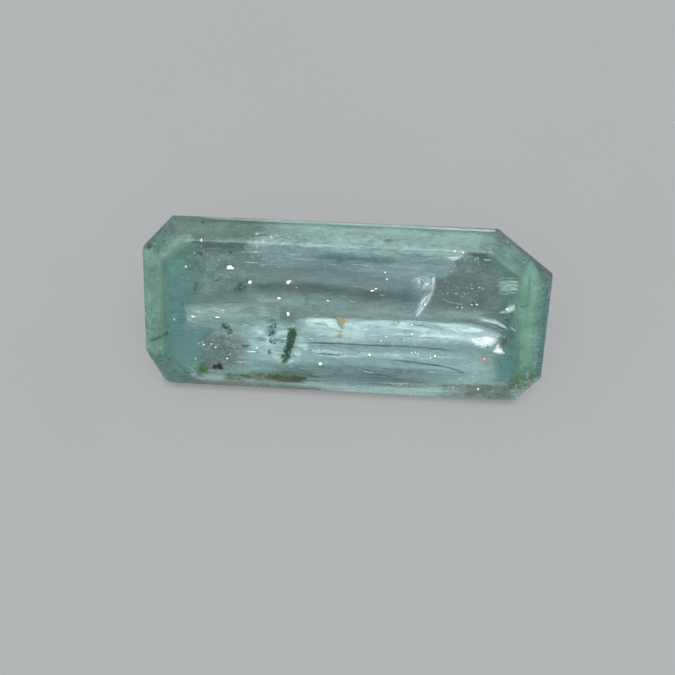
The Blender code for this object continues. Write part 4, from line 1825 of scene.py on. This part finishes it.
# %% [markdown]
# ## Rust
#
# Iron has seeped along a crack in the middle and left a rusty triangle with a dark slanting
# edge, and a few yellow spots. Fainter blushes of pink and peach lie in the cracks at
# both ends. They are veils again, in the colours of rust.

# %% The rust stains
RUST = {
    "rust_triangle": (
        0.20,
        ((-0.26, 0.12), (-0.10, 0.00), (0.20, -0.03), (0.10, -0.20), (0.03, -0.48),
         (-0.10, -0.22)),
        rgba(1.00, 0.86, 0.52), rgba(0.86, 0.64, 0.32), (0.35, 1.00), (8.0, 8.0, 8.0), (0.10, 1.0),
    ),
    "rust_edge": (
        0.17,
        ((-0.26, 0.12), (-0.20, 0.06), (-0.08, -0.18), (0.04, -0.44), (0.02, -0.48),
         (-0.14, -0.20)),
        rgba(0.56, 0.40, 0.20), rgba(0.40, 0.28, 0.15), (0.30, 0.80), (8.0, 8.0, 8.0), (0.10, 1.0),
    ),
    "rust_drop": (
        0.17,
        ((-0.12, -0.55), (0.00, -0.50), (0.07, -0.56), (0.02, -0.66), (-0.08, -0.66)),
        rgba(1.00, 0.95, 0.55), rgba(0.80, 0.66, 0.25), (0.55, 1.00), (9.0, 9.0, 9.0), (0.35, 1.0),
    ),
    "rust_spot": (
        0.18,
        ((-0.14, -1.16), (0.02, -1.11), (0.10, -1.16), (0.06, -1.24), (-0.10, -1.24)),
        rgba(0.78, 0.72, 0.36), rgba(0.60, 0.62, 0.36), (0.30, 0.85), (9.0, 9.0, 9.0), (0.30, 1.0),
    ),
    "rust_far": (
        0.45,
        ((0.02, 2.08), (0.13, 2.12), (0.26, 2.06), (0.20, 1.98), (0.06, 1.99)),
        rgba(0.42, 0.44, 0.18), rgba(0.34, 0.38, 0.20), (0.40, 0.90), (9.0, 9.0, 9.0), (0.25, 1.0),
    ),
    "lens_blush": (
        0.32,
        ((-4.16, -0.80), (-4.04, -0.74), (-3.94, -0.82), (-3.98, -0.96), (-4.12, -0.94)),
        rgba(0.50, 0.30, 0.26), rgba(0.44, 0.36, 0.34), (0.25, 0.75), (9.0, 9.0, 9.0), (0.20, 1.0),
    ),
    "peach_flake": (
        0.24,
        ((4.10, -1.00), (4.22, -0.94), (4.34, -0.96), (4.34, -1.38), (4.20, -1.28)),
        rgba(1.00, 0.86, 0.74), rgba(0.60, 0.54, 0.50), (0.50, 1.00), (8.0, 6.0, 6.0), (0.30, 1.0),
    ),
    "low_blush": (
        0.40,
        ((2.90, -2.00), (3.30, -1.92), (3.80, -1.88), (4.50, -1.86), (4.60, -2.02),
         (4.00, -2.14), (3.20, -2.12)),
        rgba(0.60, 0.52, 0.46), rgba(0.34, 0.40, 0.37), (0.15, 0.75), (6.0, 9.0, 9.0), (0.35, 1.0),
    ),
}
veils(RUST, draw, rough=0.6, rounding=1)

# %% [markdown]
# ## Glints
#
# A glint is a flat bubble or a scrap of crack that happens to throw the lamp at the eye. It
# does so when its normal lies midway between the sight line and the lamp's direction, both as
# they run inside the crystal. So each glint is a thin shining pebble turned that way, and it
# goes out when the stone is turned, as a real one does. Glowing dots would never go out.

# %% A glint's finish


def glint_finish(name, tint, rough=(0.10, 0.28)):
    """A small mirror that is slightly uneven: its roughness varies over the range."""
    material, tree, shader = new_finish(name)
    uneven = grain(tree, (30.0, 30.0, 30.0), detail=2.0)
    deeper = tuple(value * 0.85 for value in tint[:3]) + (1.0,)
    tree.links.new(mix_colours(tree, uneven, tint, deeper), shader.inputs["Base Color"])
    tree.links.new(remap(tree, uneven, MIDDLING, rough), shader.inputs["Roughness"])
    shader.inputs["Metallic"].default_value = 1.0
    return material


print("a mirror to the eye faces", midway.round(3))

# %% [markdown]
# ## Where the glints are
#
# Each glint has its place, its half length and its half width. The white ones are plain, the
# blue ones have split the light a little, and the warm ones have rust on them.

# %% The glints
GLINTS = {
    "white": (
        rgba(1.0, 1.0, 0.97),
        (
            (-3.36, 1.38, 0.085, 0.062), (-3.27, 1.36, 0.045, 0.040), (-2.74, 0.95, 0.052, 0.052),
            (-4.63, 1.34, 0.028, 0.028), (-1.87, 0.49, 0.050, 0.035), (-1.58, 0.02, 0.038, 0.070),
            (-1.62, 1.00, 0.050, 0.060), (-1.88, 2.30, 0.024, 0.024), (-4.91, -0.33, 0.022, 0.030),
            (-3.31, -1.48, 0.030, 0.024), (-0.44, 0.49, 0.040, 0.020), (0.96, 0.94, 0.050, 0.018),
            (0.85, 0.87, 0.070, 0.018), (2.42, 0.52, 0.036, 0.036), (1.18, -0.68, 0.034, 0.022),
            (0.87, -1.14, 0.045, 0.030), (1.33, -0.55, 0.040, 0.018), (2.07, -0.42, 0.030, 0.030),
            (2.06, -0.13, 0.022, 0.030), (-5.43, 0.20, 0.022, 0.022), (-4.21, 2.16, 0.026, 0.026),
            (-2.60, 2.44, 0.060, 0.018), (-4.24, -1.54, 0.022, 0.022), (5.20, -2.00, 0.070, 0.026),
            (2.79, -1.08, 0.022, 0.040), (2.66, -1.14, 0.018, 0.040), (2.10, -1.02, 0.018, 0.030),
            (2.20, -1.00, 0.018, 0.034), (2.30, -1.02, 0.016, 0.030), (3.45, 2.18, 0.040, 0.022),
            (3.20, 2.20, 0.030, 0.018), (2.95, 2.16, 0.034, 0.014), (-3.80, -1.05, 0.024, 0.024),
            (-3.66, -1.14, 0.024, 0.024), (-4.02, -1.08, 0.026, 0.022), (4.82, 0.50, 0.034, 0.030),
            (3.36, 0.49, 0.022, 0.020), (3.50, 0.48, 0.024, 0.020), (3.93, 0.60, 0.026, 0.022),
            (3.78, 0.58, 0.018, 0.018),
        ),
    ),
    "blue": (
        rgba(0.55, 0.98, 1.0),
        (
            (-0.57, -1.50, 0.060, 0.048), (1.20, 1.46, 0.026, 0.026), (1.26, 1.25, 0.026, 0.030),
            (1.60, -0.09, 0.026, 0.020), (-2.60, 1.90, 0.050, 0.020), (-1.30, -1.24, 0.030, 0.024),
            (0.62, 2.02, 0.024, 0.020), (-0.20, 2.16, 0.030, 0.026), (4.35, -0.60, 0.030, 0.050),
            (-2.45, -1.10, 0.040, 0.020), (-1.95, 1.98, 0.030, 0.016),
        ),
    ),
    "warm": (
        rgba(1.0, 0.72, 0.56),
        (
            (-1.55, 1.05, 0.024, 0.030), (-1.36, 0.85, 0.026, 0.018), (5.05, -2.02, 0.036, 0.016),
            (3.36, -2.04, 0.030, 0.022), (4.10, -2.04, 0.040, 0.022), (4.24, -1.10, 0.020, 0.050),
            (-2.90, -1.58, 0.060, 0.012), (1.00, -0.70, 0.018, 0.014),
        ),
    ),
}
GLINT_SWELL = 1.35
GLINT_DEPTH = 0.15
GLINT_THICKNESS = 0.006
GLINT_LUMPS = 0.02
GLINT_TURN = 0.5
for name, (tint, places) in GLINTS.items():
    places = np.array(places)
    centres = np.column_stack([places[:, :2], np.full(len(places), GLINT_DEPTH)])
    half = np.column_stack([places[:, 2:] * GLINT_SWELL, np.full(len(places), GLINT_THICKNESS)])
    turns = draw.uniform(-GLINT_TURN, GLINT_TURN, len(places))
    tiny = [pebbles(centres, half, turns, GLINT_LUMPS, draw, normal=midway)]
    add_piece("glints_" + name, tiny, glint_finish("glint_" + name, tint))

# %% [markdown]
# ## Satin streaks
#
# Some tubes are flattened, and shine along their whole length like a thread of satin. They are
# glints drawn out along the stone, with a rougher finish, so they gleam and don't flash.

# %% Satin streaks
STREAK_DEPTH = 0.16
STREAK_LUMPS = 0.15
STREAKS = np.array(
    [
        (-2.60, -1.23, 0.20, 0.026), (-1.86, -1.27, 0.16, 0.024), (-2.88, -0.46, 0.11, 0.018),
        (-2.60, -0.58, 0.10, 0.018), (-2.30, -0.92, 0.16, 0.014), (-0.62, -0.25, 0.18, 0.022),
        (-0.64, -0.61, 0.20, 0.018), (-0.92, -1.15, 0.20, 0.018), (-0.30, -0.49, 0.30, 0.018),
        (-2.65, 1.88, 0.24, 0.020), (-2.72, 1.56, 0.18, 0.016), (-1.50, 1.87, 0.14, 0.016),
        (-4.36, -0.22, 0.10, 0.040), (-4.20, -0.04, 0.07, 0.030), (-3.66, -0.20, 0.09, 0.036),
        (-3.50, 0.02, 0.08, 0.028), (0.95, -0.53, 0.30, 0.014), (2.86, 2.12, 0.20, 0.018),
        (3.16, 2.02, 0.26, 0.022), (5.00, 1.36, 0.22, 0.018), (5.05, 1.12, 0.20, 0.016),
    ]
)
centres = np.column_stack([STREAKS[:, :2], np.full(len(STREAKS), STREAK_DEPTH)])
half = np.column_stack([STREAKS[:, 2:], np.full(len(STREAKS), GLINT_THICKNESS)])
long_ones = pebbles(centres, half, 0.0, STREAK_LUMPS, draw, normal=midway)
satin = glint_finish("streak", rgba(0.82, 0.98, 0.97), rough=(0.34, 0.46))
add_piece("bright_streaks", [long_ones], satin)

# %% [markdown]
# ## Spangles
#
# Besides the glints that can be named there is a fine glitter wherever the veils are. Each
# spangle is a tiny flat pebble, turned nearly to the lamp but not quite, and each batch is
# turned by its own small amount, so that only some of them flash at a time.

# %% Spangles
SPANGLE_TILTS = 7
SPANGLES_EACH = 64
SPANGLED = np.array(
    [(-2.4, 2.0), (-1.2, 2.1), (-2.2, -0.6), (-1.2, -0.9), (0.6, -0.9), (1.8, -1.0), (3.2, 2.1),
     (4.2, -0.4), (-3.6, -1.0), (3.6, 1.0), (-3.6, 1.6), (3.9, -2.0)]
)
SPANGLE_TILT = 0.05
SPANGLE_SPREAD = (0.45, 0.22)
SPANGLE_DEPTHS = (0.14, 0.5)
SPANGLE_SIZES = (0.010, 0.024)
SPANGLE_SHAPE = np.array([1.4, 0.8, 0.25])
SPANGLE_TURN = 0.4
SPANGLE_LUMPS = 0.05
spangles = []
for _ in range(SPANGLE_TILTS):
    tilted = unit(midway + draw.normal(0.0, SPANGLE_TILT, 3))
    near = SPANGLED[draw.integers(0, len(SPANGLED), SPANGLES_EACH)]
    places = near + draw.normal(0.0, SPANGLE_SPREAD, near.shape)
    centres = np.column_stack([places, draw.uniform(*SPANGLE_DEPTHS, SPANGLES_EACH)])
    half = draw.uniform(*SPANGLE_SIZES, (SPANGLES_EACH, 1)) * SPANGLE_SHAPE
    turns = draw.uniform(-SPANGLE_TURN, SPANGLE_TURN, SPANGLES_EACH)
    spangles.append(pebbles(centres, half, turns, SPANGLE_LUMPS, draw, normal=tilted))
add_piece("spangles", spangles, glint_finish("spangle", rgba(0.86, 1.0, 1.0)))

# %% [markdown]
# ## Pinpoints
#
# Last come the pinpoints: hundreds of tiny bubbles and grains that make the whole interior
# slightly granular. They are the same pebbles, very small and pale, and crowd where the veils
# are.

# %% The pinpoints
draw = np.random.default_rng(41)
POINTS_TRIED = 1300
POINT_MARGIN = 0.1 * MM
POINT_BOX = ((-5.5, -2.2, 0.12), (5.5, 2.3, 3.0))
CROWD_SPREAD = (0.55, 0.28)
CROWD_DEPTHS = (0.12, 0.9)
POINT_SIZES = (0.005, 0.014)
POINT_LUMPS = 0.1
pinpoint_white = mineral_finish("pinpoint", rgba(0.92, 1.0, 1.0), rgba(0.62, 0.80, 0.80), 0.4)
even = draw.uniform(*POINT_BOX, (POINTS_TRIED // 2, 3))
crowds = np.array(
    [(-3.6, 1.2), (-2.2, 1.9), (-1.7, -0.9), (-3.6, -1.0), (1.0, -1.0), (3.6, 2.0), (3.6, 0.9)]
)
chosen = crowds[draw.integers(0, len(crowds), POINTS_TRIED // 2)]
round_them = chosen + draw.normal(0.0, CROWD_SPREAD, chosen.shape)
crowded = np.column_stack([round_them, draw.uniform(*CROWD_DEPTHS, len(chosen))])
middles = np.concatenate([even, crowded])
middles = middles[room_along(spot(middles), POINT_MARGIN)[2]]
half = draw.uniform(*POINT_SIZES, (len(middles), 1)) * np.ones(3)
bubbles = pebbles(middles, half, 0.0, POINT_LUMPS, draw, rings=3, sides=6)
add_piece("pinpoints", [bubbles], pinpoint_white)
